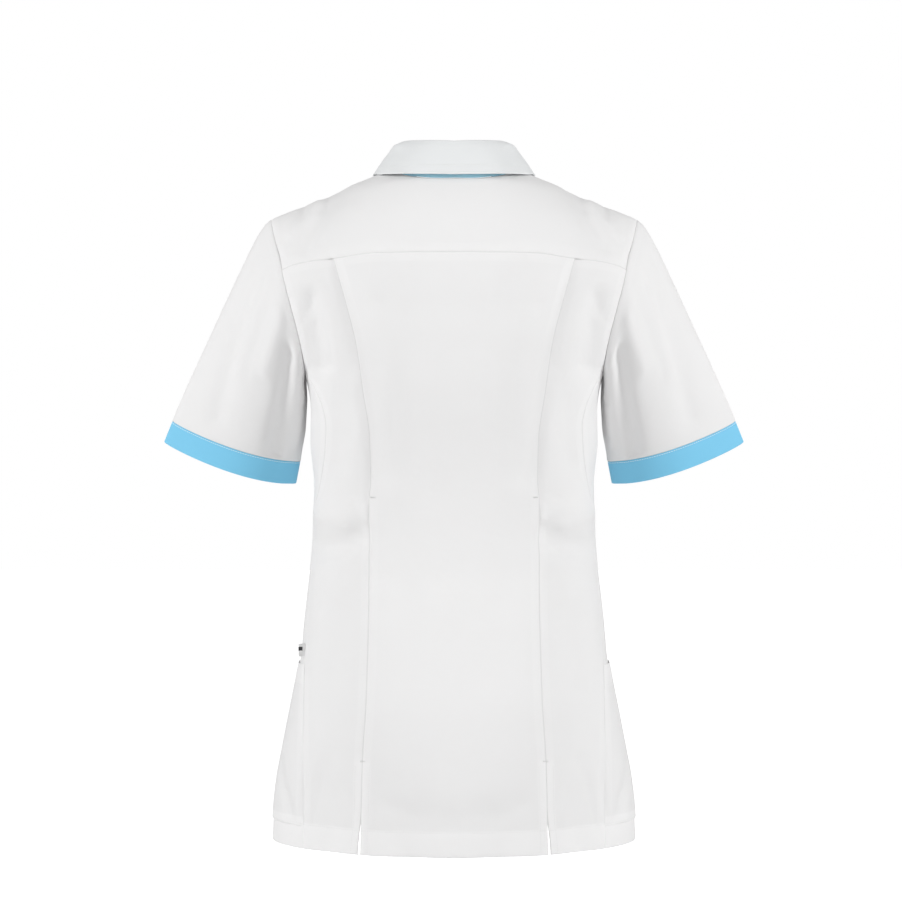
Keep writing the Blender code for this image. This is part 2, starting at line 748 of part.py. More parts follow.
def side_tab(look):
    middle = TAB_TOP - TAB_HEIGHT / 2
    half = BODY.at("half", middle)
    root = body_ring(ring_angle(SIDE_SEAM.at("x", middle), half, squareness(middle)), middle)
    out = Vector((0.90, 0.43, 0)).normalized()
    mesh = bmesh.new()
    bmesh.ops.create_cube(mesh, size=1.0)
    bmesh.ops.scale(mesh, vec=(TAB_REACH, WALL, TAB_HEIGHT), verts=mesh.verts)
    bmesh.ops.bevel(
        mesh, geom=[e for e in mesh.edges if abs(e.verts[0].co.y - e.verts[1].co.y) < 1e-6],
        offset=0.0004, segments=2, affect="EDGES", profile=0.5, material=-1,
    )
    turn = Matrix.Rotation(math.atan2(out.y, out.x), 3, "Z")
    bmesh.ops.rotate(mesh, cent=(0, 0, 0), matrix=turn, verts=mesh.verts)
    centre = root + out * (TAB_REACH / 2 + 4 * GAP)
    bmesh.ops.translate(mesh, vec=centre, verts=mesh.verts)
    finish("side_tab", mesh, look)


# Materials and the build

def cloth(name, colour, roughness):
    look = bpy.data.materials.new(name)
    look.use_nodes = True
    shader = look.node_tree.nodes["Principled BSDF"]
    shader.inputs["Base Color"].default_value = (*colour, 1)
    shader.inputs["Roughness"].default_value = roughness
    look.diffuse_color = (*colour, 1)
    return look


def above_underarm(rows):
    # true on the edge that meets the sleeve
    split = rows[0] / sum(rows)
    return lambda u, w: u > 1 - 1e-6 and w > split - 1e-6


def both(name, surface, **settings):
    # the wearer's left piece and its mirror image
    inside = settings.pop("inside", torso_inside)
    wall(name + "_left", surface=surface, inside=inside, **settings)
    wall(name + "_right", surface=mirrored(surface), inside=inside, **settings)


def build():
    for obj in list(bpy.data.objects):
        bpy.data.objects.remove(obj, do_unlink=True)
    white = cloth("white_cloth", (0.86, 0.86, 0.87), 0.85)
    blue = cloth("blue_cloth", (0.23, 0.63, 0.89), 0.80)
    front_left_piece = dict(surface=front, fold=fly_under)
    front_right_piece = dict(surface=mirrored(front), fold=plain_fold)
    wall("back_centre", (12, sum(BACK_ROWS)), back_centre, torso_inside, white,
         inset=(0.0008, 0.9992, 0.0, 0.9996), fold=plain_fold)
    both("back_side", back_side, grid=(6, sum(BACK_ROWS)), look=white,
         inset=(0.0008, 0.9985, 0.0, 0.9996), fold=back_side_fold, rim=above_underarm(BACK_ROWS))
    for name, piece in (("front_left", front_left_piece), ("front_right", front_right_piece)):
        wall(name, (FRONT_COLUMNS, sum(FRONT_ROWS)), inside=torso_inside, look=white,
             inset=(0.0, 0.9993, 0.0, 0.9996), rim=above_underarm(FRONT_ROWS), **piece)
    wall("yoke", (YOKE_COLUMNS, 9), yoke, torso_inside, white, inset=(0.0008, 0.9992, 0.0016, 0.9985),
         fold=plain_fold, rim=lambda u, w: u < 1e-6 or u > 1 - 1e-6)
    both("sleeve", sleeve, grid=(30, 12), look=white, inside=sleeve_inside, closed=True,
         inset=(0, 1, 0.0050, 0.9992), fold=sleeve_fold, rim=lambda u, w: w < 1e-6)
    both("cuff", cuff, grid=(30, 2), look=blue, inside=sleeve_inside, closed=True, inset=(0, 1, 0.006, 1))
    wall("collar_stand", (40, 2), collar_stand, collar_inside, blue)
    wall("collar_leaf", (40, 6), collar_leaf, collar_inside, white)
    both("pocket", pocket, look=white, fold=pocket_fold,
         grid=(POCKET_COLUMNS[1] - POCKET_COLUMNS[0], POCKET_ROWS[1] - POCKET_ROWS[0]))
    side_tab(white)


build()
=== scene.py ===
import math
from bisect import bisect_right

import bmesh
import bpy
from mathutils import Matrix, Vector


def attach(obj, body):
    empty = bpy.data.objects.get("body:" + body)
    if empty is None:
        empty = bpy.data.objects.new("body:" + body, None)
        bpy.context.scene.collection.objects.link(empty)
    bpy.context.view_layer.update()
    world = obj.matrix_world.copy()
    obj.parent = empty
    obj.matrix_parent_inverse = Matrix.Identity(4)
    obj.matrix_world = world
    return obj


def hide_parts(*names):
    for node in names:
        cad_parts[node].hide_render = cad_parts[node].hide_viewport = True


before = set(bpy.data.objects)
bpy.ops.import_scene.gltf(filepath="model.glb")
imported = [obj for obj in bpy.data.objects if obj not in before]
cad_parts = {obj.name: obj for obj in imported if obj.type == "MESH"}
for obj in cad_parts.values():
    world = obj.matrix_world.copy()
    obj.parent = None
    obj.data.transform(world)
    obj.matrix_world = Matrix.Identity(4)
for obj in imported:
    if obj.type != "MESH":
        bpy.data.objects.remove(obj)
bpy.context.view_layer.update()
print("frame loaded:", len(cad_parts), "nodes")


# The tunic's shape, as in the solids

class Table:
    # rows with named columns, read anywhere between the rows along a smooth curve
    def __init__(self, names, rows):
        self.columns = {name: [row[i] for row in rows] for i, name in enumerate(names.split())}
        self.keys = self.columns[names.split()[0]]

    def at(self, name, key):
        keys, values = self.keys, self.columns[name]
        if key <= keys[0]:
            return values[0]
        if key >= keys[-1]:
            return values[-1]
        i = bisect_right(keys, key) - 1
        span = keys[i + 1] - keys[i]
        t = (key - keys[i]) / span
        start, end = self.slope(values, i) * span, self.slope(values, i + 1) * span
        return (
            values[i] * (2 * t**3 - 3 * t**2 + 1)
            + start * (t**3 - 2 * t**2 + t)
            + values[i + 1] * (3 * t**2 - 2 * t**3)
            + end * (t**3 - t**2)
        )

    def slope(self, values, i):
        keys = self.keys
        if i == 0:
            return (values[1] - values[0]) / (keys[1] - keys[0])
        if i == len(keys) - 1:
            return (values[-1] - values[-2]) / (keys[-1] - keys[-2])
        before = (values[i] - values[i - 1]) / (keys[i] - keys[i - 1])
        after = (values[i + 1] - values[i]) / (keys[i + 1] - keys[i])
        return 2 * before * after / (before + after) if before * after > 0 else 0.0


tunic = {
    "wall": 0.0014,  # thickness of the solids
    "gap": 0.0003,  # between them at a seam
    "hem": -0.700,
    "underarm": -0.2063,
    "backBase": -0.135,  # above this height the back rounds over to the shoulder
    "squareness": 2.3,  # power of the body rings, 2 is an ellipse
    "hemSquareness": 1.75,
    "hip": -0.50,  # the rings change shape from here down
    "chestTop": -0.06,  # where the fly's angle is taken above the underarm
    "pleatEnd": -0.335,
    "pleatLap": 0.012,
    "ventTop": -0.6035,
    "ventGap": 0.0030,
    "ventOpen": -0.6500,
    "flyLap": 0.015,
    "flyStep": (0.030, 0.055),
}
neck = {
    "half": 0.066,
    "back": 0.0585,
    "squareness": 3.0,  # behind, 2 is an ellipse
    "front": 0.068,
    "corner": math.radians(112),  # from the nape round to the shoulder seam
    "yokeShare": 0.42,
    "frontShare": 0.34,
}

# rings of the body: height, half width, and depth behind and in front of the middle
bodyRings = Table("z half back front", [
    (-0.700, 0.1920, 0.130, 0.128),
    (-0.665, 0.1906, 0.130, 0.127),
    (-0.633, 0.1870, 0.129, 0.126),
    (-0.601, 0.1810, 0.128, 0.124),
    (-0.553, 0.1715, 0.124, 0.120),
    (-0.506, 0.1620, 0.116, 0.116),
    (-0.474, 0.1592, 0.110, 0.113),
    (-0.442, 0.1558, 0.104, 0.110),
    (-0.410, 0.1520, 0.098, 0.110),
    (-0.363, 0.1490, 0.095, 0.112),
    (-0.325, 0.1480, 0.096, 0.118),
    (-0.278, 0.1520, 0.100, 0.127),
    (-0.246, 0.1514, 0.104, 0.133),
    (-0.206, 0.1583, 0.107, 0.135),
    (-0.193, 0.1645, 0.107, 0.135),
    (-0.1726, 0.1738, 0.107, 0.135),
    (-0.135, 0.1895, 0.105, 0.135),
    (-0.110, 0.1950, 0.105, 0.135),
    (-0.044, 0.1970, 0.105, 0.135),
])
# half width that the fronts follow above the underarm
chestHalf = Table("z half", [
    (-0.206, 0.1583),
    (-0.190, 0.1665),
    (-0.170, 0.1720),
    (-0.130, 0.1790),
    (-0.090, 0.1900),
    (-0.045, 0.1970),
])
# height of the shoulder line across the body, as the back and as the front reach it
shoulderLine = Table("x back front", [
    (0.000, 0.0200, -0.0360),
    (0.030, 0.0190, -0.0170),
    (0.050, 0.0160, 0.0040),
    (0.060, 0.0125, 0.0125),
    (0.070, 0.0085, 0.0085),
    (0.090, -0.0005, -0.0005),
    (0.108, -0.0077, -0.0077),
    (0.120, -0.0138, -0.0138),
    (0.145, -0.0246, -0.0246),
    (0.170, -0.0343, -0.0343),
    (0.195, -0.0450, -0.0450),
    (0.201, -0.0500, -0.0500),
])
# seams of the back: height and distance from the centre
princessSeam = Table("z x", [
    (-0.700, 0.0954),
    (-0.600, 0.0929),
    (-0.541, 0.0892),
    (-0.440, 0.0873),
    (-0.342, 0.0874),
    (-0.319, 0.0858),
    (-0.278, 0.0865),
    (-0.227, 0.0933),
    (-0.181, 0.0999),
    (-0.135, 0.1113),
    (-0.0907, 0.1242),
])
sideSeam = Table("z x", [
    (-0.700, 0.1560),
    (-0.611, 0.1560),
    (-0.485, 0.1556),
    (-0.442, 0.1535),
    (-0.410, 0.1512),
    (-0.387, 0.1498),
    (-0.351, 0.1468),
    (-0.340, 0.1436),
    (-0.325, 0.1402),
    (-0.307, 0.1369),
    (-0.287, 0.1345),
    (-0.262, 0.1333),
    (-0.240, 0.1380),
    (-0.220, 0.1480),
    (-0.2063, 0.1562),
])
armholeBack = Table("z x", [
    (-0.2063, 0.1562),
    (-0.193, 0.1577),
    (-0.1726, 0.1613),
    (-0.1396, 0.1695),
    (-0.1102, 0.1772),
    (-0.089, 0.1814),
    (-0.0756, 0.1857),
    (-0.0475, 0.1929),
    (-0.0438, 0.1935),
])
yokeSeam = Table("x z", [
    (0.000, -0.0858),
    (0.080, -0.0860),
    (0.124, -0.0912),
    (0.148, -0.0930),
    (0.168, -0.0964),
    (0.179, -0.1004),
])
# front half of the armhole from the side seam up: rise is 0 at the underarm and 1 on the shoulder,
# and angle goes round the body, 0 at its side and -90 at the front
armholeFront = Table("share rise angle", [
    (0.000, 0.000, 10.0),
    (0.057, 0.001, 4.0),
    (0.134, 0.003, -2.5),
    (0.232, 0.014, -11.5),
    (0.289, 0.040, -16.7),
    (0.358, 0.085, -22.3),
    (0.428, 0.150, -25.8),
    (0.521, 0.240, -28.0),
    (0.619, 0.340, -28.0),
    (0.731, 0.460, -27.5),
    (0.870, 0.580, -22.6),
    (0.951, 0.700, -17.6),
    (1.000, 0.800, -15.2),
])
shoulderSeam = Table("share x rise", [
    (0.0, 0.0584, 0.876),
    (0.5, 0.1250, 0.808),
    (1.0, 0.1905, 0.800),
])


def lerp(start, end, share):
    return start + (end - start) * share


def smoothstep(low, high, value):
    t = min(1.0, max(0.0, (value - low) / (high - low)))
    return t * t * (3 - 2 * t)


def power(value, exponent):
    return math.copysign(abs(value) ** exponent, value)


def bell(distance, width):
    return math.exp(-((distance / width) ** 2))


def ridge(distance, height, at, half):
    # a rounded rise at one distance from an edge, or a groove where the height is below 0
    return height * bell(distance - at, half)


def squareness(z):
    return lerp(tunic["hemSquareness"], tunic["squareness"], smoothstep(tunic["hem"], tunic["hip"], z))


def ringAngle(x, half, square=tunic["squareness"]):
    # 0 where the ring is widest, 90 degrees at the centre
    return math.acos(min(1.0, abs(x) / half) ** (square / 2))


def fullness(x, half, square=tunic["squareness"]):
    return max(0.0, 1 - min(1.0, abs(x) / half) ** square) ** (1 / square)


def bodyRing(angle, z):
    # angle is positive behind and negative in front
    depth = bodyRings.at("back" if angle > 0 else "front", z)
    x = bodyRings.at("half", z) * power(math.cos(angle), 2 / squareness(z))
    return Vector((x, depth * power(math.sin(angle), 2 / squareness(z)), z))


def backSurface(x, z):
    base = tunic["backBase"]
    half = bodyRings.at("half", z)
    if z <= base:
        return Vector((x, bodyRings.at("back", z) * fullness(x, half, squareness(z)), z))
    rise = min(1.0, (z - base) / (shoulderLine.at("back", abs(x)) - base))
    y = bodyRings.at("back", base) * fullness(x, half) * math.sqrt(1 - rise * rise)
    return Vector((x, y, z))


def shoulderSurface(x, turn):
    # turn is 0 on the shoulder line, 90 degrees at the foot of the back and -90 at the underarm in front
    if turn >= 0:
        z = lerp(tunic["backBase"], shoulderLine.at("back", abs(x)), math.cos(turn))
        depth, half = bodyRings.at("back", tunic["backBase"]), bodyRings.at("half", z)
    else:
        z = lerp(tunic["underarm"], shoulderLine.at("front", abs(x)), math.cos(turn))
        depth, half = bodyRings.at("front", tunic["underarm"]), chestHalf.at("half", z)
    return Vector((x, depth * fullness(x, half) * math.sin(turn), z))


def chestSurface(angle, rise):
    # angle goes round the body and rise from the underarm to the shoulder
    low = tunic["underarm"]
    half = chestHalf.at("half", low)
    for _ in range(3):
        x = half * power(math.cos(angle), 2 / tunic["squareness"])
        z = lerp(low, shoulderLine.at("front", abs(x)), math.sin(rise * math.pi / 2))
        half = chestHalf.at("half", z)
    depth = bodyRings.at("back" if angle > 0 else "front", low)
    y = depth * power(math.sin(angle), 2 / tunic["squareness"]) * math.cos(rise * math.pi / 2)
    return Vector((x, y, z))


def neckTurn(x, y):
    # the turn over the shoulder at which the surface is y from the middle
    turn = 0.0
    depth = bodyRings.at("back", tunic["backBase"]) if y > 0 else bodyRings.at("front", tunic["underarm"])
    for _ in range(4):
        z = shoulderSurface(x, turn if turn else math.copysign(1e-6, y)).z
        half = bodyRings.at("half", z) if y > 0 else chestHalf.at("half", z)
        turn = math.asin(max(-1.0, min(1.0, y / (depth * fullness(x, half)))))
    return turn


def neckPoint(angle):
    # the neck hole from above, rather square behind and round in front
    across = abs(math.sin(angle))
    if math.cos(angle) > 0:
        y = neck["back"] * (1 - across ** neck["squareness"]) ** (1 / neck["squareness"])
    else:
        y = neck["front"] * math.cos(angle)
    return neck["half"] * math.sin(angle), y


def neckline(angle):
    # angle from the nape, positive to the wearer's left
    x, y = neckPoint(angle)
    return shoulderSurface(x, neckTurn(x, y))


def armholeBackPoint(z):
    x = armholeBack.at("x", z)
    if z >= shoulderLine.at("back", x):
        return Vector((x, 0.0, shoulderLine.at("back", x)))
    return backSurface(x, z)


def armholeFrontPoint(share):
    return chestSurface(math.radians(armholeFront.at("angle", share)), armholeFront.at("rise", share))


def evenLoop(points, count):
    lengths = [0.0]
    for a, b in zip(points, points[1:]):
        lengths.append(lengths[-1] + (b - a).length)
    even = []
    for i in range(count):
        at = lengths[-1] * i / count
        j = min(bisect_right(lengths, at) - 1, len(points) - 2)
        even.append(points[j].lerp(points[j + 1], (at - lengths[j]) / (lengths[j + 1] - lengths[j])))
    return even


def armholeLoop(count):
    # from the shoulder line down the back, under the arm and up the front
    top, foot = armholeBack.keys[-1], armholeBack.keys[0]
    points = [armholeBackPoint(lerp(top, foot, math.sin(i / 60 * math.pi / 2) ** 2)) for i in range(61)]
    points += [armholeFrontPoint(i / 60) for i in range(1, 61)]
    seamEnd = points[-1]
    points += [seamEnd.lerp(points[0], i / 5) for i in range(1, 6)]
    return evenLoop(points, count)


armholeCount = 96
armholePoints = armholeLoop(armholeCount)
armholeCentre = sum(armholePoints, Vector()) / armholeCount


def armhole(share):
    at = (share % 1.0) * armholeCount
    i = int(at) % armholeCount
    return armholePoints[i].lerp(armholePoints[(i + 1) % armholeCount], at - int(at))


armholeNear = {"reach": 0.02, "innerX": 0.12}  # beyond them the distance isn't needed


def armholeDistance(point):
    reach = armholeNear["reach"]
    if point.z < tunic["underarm"] - reach or abs(point.x) < armholeNear["innerX"]:
        return reach
    beside = Vector((abs(point.x), point.y, point.z))
    return min((beside - p).length for p in armholePoints)


# Folds: from one end to the other, with a width and a depth

# large soft folds that the solids have too
foldsBack = Table("x z toX toZ width depth", [
    (0.056, -0.120, 0.072, -0.310, 0.016, -0.0025),
    (0.100, -0.375, 0.140, -0.395, 0.012, -0.0045),
    (0.105, -0.350, 0.138, -0.352, 0.011, 0.0030),
    (0.116, -0.250, 0.120, -0.300, 0.012, -0.0025),
    (0.118, -0.455, 0.124, -0.520, 0.016, -0.0030),
    (0.134, -0.640, 0.128, -0.690, 0.016, -0.0035),
    (0.148, -0.130, 0.136, -0.200, 0.010, -0.0055),
])
foldsFront = Table("x z toX toZ width depth", [
    (0.060, -0.260, 0.052, -0.420, 0.020, -0.0050),
    (0.110, -0.350, 0.145, -0.370, 0.012, -0.0040),
    (0.100, -0.480, 0.092, -0.690, 0.020, -0.0050),
    (0.135, -0.190, 0.108, -0.150, 0.013, -0.0045),
    (0.176, -0.610, 0.164, -0.690, 0.012, -0.0045),
])
# along a sleeve and round it, in degrees from its top backwards
foldsSleeve = Table("start turn end toTurn width depth", [
    (0.18, 118, 0.95, 138, 0.011, -0.0070),
    (0.20, 40, 0.85, 62, 0.014, -0.0030),
    (0.10, 92, 0.42, 96, 0.010, 0.0035),
    (0.25, -110, 0.90, -135, 0.012, -0.0060),
    (0.20, -45, 0.80, -60, 0.014, -0.0030),
])
# fine creases, as seen from behind
creasesBack = Table("x z toX toZ width depth", [
    (0.1400, -0.358, 0.1130, -0.3655, 0.0070, 0.0020),
    (0.1100, -0.3655, 0.0920, -0.360, 0.0060, 0.0015),
    (0.1400, -0.384, 0.1100, -0.3885, 0.0080, -0.0024),
    (0.1080, -0.3885, 0.0920, -0.384, 0.0070, -0.0018),
    (0.1495, -0.134, 0.1580, -0.156, 0.0040, -0.0018),
    (0.1820, -0.615, 0.1700, -0.674, 0.0040, -0.0024),
    (0.1745, -0.645, 0.1650, -0.673, 0.0035, -0.0018),
    (0.1500, -0.163, 0.1410, -0.218, 0.0065, -0.0024),
    (0.0960, -0.330, 0.1080, -0.338, 0.0050, -0.0007),
    (0.1080, -0.205, 0.1150, -0.235, 0.0050, -0.0010),
    (0.1030, -0.262, 0.1090, -0.276, 0.0045, -0.0008),
    (0.0990, -0.420, 0.1040, -0.450, 0.0070, -0.0008),
    (0.1290, -0.410, 0.1420, -0.424, 0.0035, -0.0010),
    (0.1500, -0.615, 0.1580, -0.672, 0.0050, -0.0016),
    (0.1380, -0.625, 0.1480, -0.674, 0.0055, -0.0014),
    (0.1260, -0.605, 0.1330, -0.618, 0.0080, -0.0012),
    (0.1160, -0.640, 0.1060, -0.672, 0.0070, -0.0010),
    (0.0580, -0.350, 0.0520, -0.440, 0.0160, -0.0010),
    (0.0300, -0.655, 0.0000, -0.662, 0.0150, -0.0012),
    (0.0680, -0.648, 0.0400, -0.660, 0.0100, -0.0010),
    (0.0780, -0.098, 0.0800, -0.135, 0.0120, -0.0016),
    (0.0300, -0.180, 0.0240, -0.330, 0.0260, -0.0012),
    (0.0750, -0.470, 0.0800, -0.560, 0.0110, 0.0009),
])
creasesYoke = Table("x z toX toZ width depth", [
    (0.1325, -0.012, 0.1390, -0.036, 0.0045, -0.0024),
    (0.1590, -0.024, 0.1620, -0.044, 0.0040, -0.0018),
    (0.1280, -0.088, 0.1210, -0.104, 0.0030, 0.0010),
    (0.1290, -0.030, 0.1560, -0.080, 0.0080, -0.0026),
    (0.1420, -0.026, 0.1700, -0.062, 0.0060, 0.0014),
    (0.1560, -0.038, 0.1680, -0.070, 0.0050, -0.0014),
    (0.1820, -0.048, 0.1800, -0.070, 0.0045, -0.0010),
    (0.1220, -0.018, 0.1080, -0.030, 0.0080, -0.0014),
])
creasesSleeve = Table("start turn end toTurn width depth", [
    (0.05, 70, 0.55, 76, 0.0060, -0.0012),
    (0.10, 50, 0.60, 66, 0.0050, 0.0010),
    (0.30, 128, 0.80, 150, 0.0090, -0.0012),
    (0.40, 150, 0.75, 160, 0.0080, 0.0012),
    (0.12, 20, 0.40, 26, 0.0060, -0.0009),
    (0.30, -80, 0.80, -96, 0.0060, -0.0012),
])


def segmentDistance(x, z, ends):
    dx, dz = ends[2] - ends[0], ends[3] - ends[1]
    along = ((x - ends[0]) * dx + (z - ends[1]) * dz) / (dx * dx + dz * dz)
    along = min(1.0, max(0.0, along))
    return math.hypot(x - ends[0] - dx * along, z - ends[1] - dz * along)


def foldHeight(table, a, b):
    total = 0.0
    for fromA, fromB, toA, toB, width, depth in zip(*table.columns.values()):
        if min(fromB, toB) - 3 * width < b < max(fromB, toB) + 3 * width:
            total += ridge(segmentDistance(a, b, (fromA, fromB, toA, toB)), depth, 0.0, width)
    return total


# how folds fade out: by the distance from the armhole, and by the depth from the side of the body
fades = {
    "fold": (0.002, 0.016),
    "crease": (0.001, 0.007),
    "yokeCrease": (0.001, 0.012),
    "yokeBack": (-0.010, 0.020),
    "side": (0.0, 0.03),
}


def bodyFold(point):
    across, away = abs(point.x), armholeDistance(point)
    table = foldsBack if point.y > 0 else foldsFront
    height = foldHeight(table, across, point.z) * smoothstep(*fades["fold"], away)
    if point.y > 0:
        height += foldHeight(creasesBack, across, point.z) * smoothstep(*fades["crease"], away)
    return height * smoothstep(*fades["side"], abs(point.y))


# Edges of a panel: what sewing and folding does near them, by the distance from the edge

sewing = {
    "seamDip": 0.0005,  # how far a seam sinks
    "seamHalf": 0.0011,
    "seamShow": 0.30,  # how much a turning shows through beside a hem or facing
    "tuck": 0.0004,  # the panels pass each other by this in a seam
    "allowance": 0.0095,  # the turning that shows through as a slight step
    "step": 0.00028,
    "ramp": 0.0008,  # half the width of that step
    "foldDrop": 0.0005,
    "foldHalf": 0.0010,
    "hemDepth": 0.0265,
    "hemStitch": 0.0250,
    "stitchDip": 0.00022,
    "stitchHalf": 0.0009,
    "stitchLift": 0.00006,
    "thread": (0.00042, 0.00034, 0.0021),  # width, height and length of one stitch
    "stitchPitch": 0.0027,
    "runLength": 24,  # stitches made at a time
}


def doubledWithin(depth, distance):
    return 1 - smoothstep(depth - sewing["ramp"], depth + sewing["ramp"], distance)


def seamEdge(distance):
    dip = -sewing["seamDip"] * (1 - smoothstep(0.0, sewing["seamHalf"], distance))
    doubled = doubledWithin(sewing["allowance"], distance)
    return dip + 0.5 * sewing["step"] * doubled, sewing["seamShow"] * doubled


def foldEdge(distance, depth=None):
    # a turned edge, and the doubled strip behind it where depth is given
    drop = -sewing["foldDrop"] * max(0.0, 1 - distance / sewing["foldHalf"]) ** 2
    if depth is None:
        return drop, 0.0
    doubled = doubledWithin(depth, distance)
    return drop + sewing["step"] * doubled, doubled


def stitchGroove(distance, at):
    return ridge(distance, -sewing["stitchDip"], at, sewing["stitchHalf"])


def stitchedEdge(distance, at, depth):
    height, doubled = foldEdge(distance, depth)
    return height + stitchGroove(distance, at), doubled


def blend(first, second, share):
    return tuple(lerp(a, b, share) for a, b in zip(first, second))


def gather(*edges):
    # heights add up, and the cloth counts as doubled where any edge doubles it
    return sum(e[0] for e in edges), max(e[1] for e in edges)


# A panel is a grid carried to the tunic's surface, with closer lines along its edges

lines = {
    "plain": (0.004,),
    "seam": (0.0004, 0.0009, 0.0018, 0.0040, 0.0086, 0.0104),
    "fold": (0.0004, 0.0010, 0.0030, 0.0086, 0.0104),
    "hem": (0.0004, 0.0010, 0.0040, 0.0130, 0.0230, 0.0243, 0.0250, 0.0257, 0.0275),
    "band": (0.0004, 0.0010, 0.0017, 0.0030),
}


def closerShares(count, startLines, endLines, startScale, endScale):
    low = [0.0] + [d / startScale for d in startLines]
    high = [1 - d / endScale for d in reversed(endLines)] + [1.0]
    return low + [lerp(low[-1], high[0], i / count) for i in range(1, count)] + high


def runs(points):
    total = [0.0]
    for a, b in zip(points, points[1:]):
        total.append(total[-1] + (b - a).length)
    return total


def layOut(surface, settings):
    # the flat panel's points: columns across, each from its foot up
    step = 0.01  # share of the panel over which its spacing is measured
    across, up = settings["across"], settings["up"]
    low = (surface(0.5, step) - surface(0.5, 0.0)).length / step
    high = (surface(0.5, 1.0) - surface(0.5, 1 - step)).length / step
    heights = closerShares(up[0], lines[up[1]], lines[up[2]], low, high)
    rows = []
    for w in heights:
        left = (surface(step, w) - surface(0.0, w)).length / step
        right = (surface(1.0, w) - surface(1 - step, w)).length / step
        shares = closerShares(across[0], lines[across[1]], lines[across[2]], left, right)
        rows.append([surface(u, w) for u in shares])
    return [list(column) for column in zip(*rows)]


def tucked(flat, i, j, sides):
    # the outermost points of a sewn side go a little way into the seam
    move = Vector((0, 0, 0))
    beyond = {
        "left": (i == 0, flat[0][j], flat[1][j]),
        "right": (i == len(flat) - 1, flat[-1][j], flat[-2][j]),
        "low": (j == 0, flat[i][0], flat[i][1]),
        "high": (j == len(flat[i]) - 1, flat[i][-1], flat[i][-2]),
    }
    for side in sides:
        onEdge, outer, inner = beyond[side]
        if onEdge:
            move += (outer - inner).normalized()
    return move * sewing["tuck"]


def gridNormal(points, i, j, closed, outwards):
    # the way out of the cloth, read across the seam where a panel is closed
    last, top = len(points) - 1, len(points[i]) - 1
    before = points[i - 1] if i > 0 else points[-2 if closed else 0]
    after = points[i + 1] if i < last else points[1 if closed else -1]
    rise = points[i][min(j + 1, top)] - points[i][max(j - 1, 0)]
    normal = (after[j] - before[j]).cross(rise).normalized()
    return -normal if normal.dot(outwards) < 0 else normal


def makePanel(name, surface, inside, relief, settings):
    flat = layOut(surface, settings)
    closed = settings.get("closed", False)
    columns, rows = range(len(flat)), range(len(flat[0]))
    acrossRuns = [runs([column[j] for column in flat]) for j in rows]
    panel = {key: [] for key in ("points", "normals", "doubled", "left", "right", "low", "high")}
    for i in columns:
        upRun = runs(flat[i])
        column = {key: [] for key in panel}
        for j in rows:
            point, acrossRun = flat[i][j], acrossRuns[j]
            edge = {
                "left": acrossRun[i],
                "right": acrossRun[-1] - acrossRun[i],
                "low": upRun[j],
                "high": upRun[-1] - upRun[j],
            }
            normal = gridNormal(flat, i, j, closed, point - inside(point))
            height, doubled = relief(point, edge)
            moved = point + normal * height + tucked(flat, i, j, settings["sewn"])
            for key, value in dict(edge, points=moved, normals=normal, doubled=doubled).items():
                column[key].append(value)
        for key in panel:
            panel[key].append(column[key])
    # the relief has moved the points, so the normals are taken again
    panel["normals"] = [
        [gridNormal(panel["points"], i, j, closed, panel["normals"][i][j]) for j in rows] for i in columns
    ]
    panel["object"] = clothMesh(name, panel, settings)
    return panel


# how far a seam's shade reaches, and how it weakens beside the pockets by height
seamShade = {"reach": 0.006, "held": 0.002, "heights": (-0.56, -0.64)}


def clothMesh(name, panel, settings):
    columns, rows = len(panel["points"]) - 1, len(panel["points"][0]) - 1
    mesh = bmesh.new()
    weave = mesh.loops.layers.uv.new("cloth")
    doubledLayer = mesh.verts.layers.float.new("doubled")
    seamLayer = mesh.verts.layers.float.new("seam")
    bmesh.ops.create_grid(mesh, x_segments=columns, y_segments=rows, size=0.5)
    place = {v: (round((v.co.x + 0.5) * columns), round((v.co.y + 0.5) * rows)) for v in mesh.verts}
    for vert, (i, j) in place.items():
        near = min(panel[side][i][j] for side in settings["sewn"])
        if settings.get("softer") and near == panel[settings["softer"]][i][j]:
            near += seamShade["held"] * smoothstep(*seamShade["heights"], panel["points"][i][j].z)
        vert[seamLayer] = math.exp(-near / seamShade["reach"])
        vert[doubledLayer] = panel["doubled"][i][j]
        vert.co = panel["points"][i][j]
    for face in mesh.faces:
        for loop in face.loops:
            i, j = place[loop.vert]
            middle = (panel["left"][i][j] - panel["right"][i][j]) / 2
            loop[weave].uv = (middle, panel["low"][i][j])
    mesh.normal_update()
    face = next(iter(mesh.faces))
    i, j = place[face.verts[0]]
    if face.normal.dot(panel["normals"][i][j]) < 0:
        bmesh.ops.reverse_faces(mesh, faces=mesh.faces[:])
    if settings.get("closed"):
        bmesh.ops.remove_doubles(mesh, verts=mesh.verts[:], dist=1e-6)
    obj = newObject(name, mesh, settings["look"])
    wall = obj.modifiers.new("thickness", "SOLIDIFY")
    wall.thickness = settings.get("thick", 0.0009)
    wall.offset = -1
    applied(obj)
    smooth(obj, 50)
    return obj


def newObject(name, mesh, *looks):
    data = bpy.data.meshes.new(name)
    mesh.to_mesh(data)
    mesh.free()
    for look in looks:
        data.materials.append(look)
    obj = bpy.data.objects.new(name, data)
    bpy.context.scene.collection.objects.link(obj)
    return obj


def smooth(obj, degrees):
    obj.data.shade_smooth()
    obj.data.set_sharp_from_angle(angle=math.radians(degrees))


def applied(obj):
    # the mesh with its modifiers worked in
    view = bpy.context.evaluated_depsgraph_get()
    view.update()
    old = obj.data
    obj.data = bpy.data.meshes.new_from_object(obj.evaluated_get(view))
    obj.modifiers.clear()
    bpy.data.meshes.remove(old)


def mirrored(surface):
    def other(u, w):
        point = surface(u, w)
        return Vector((-point.x, point.y, point.z))
    return other


sides = (("left", lambda surface: surface), ("right", mirrored))


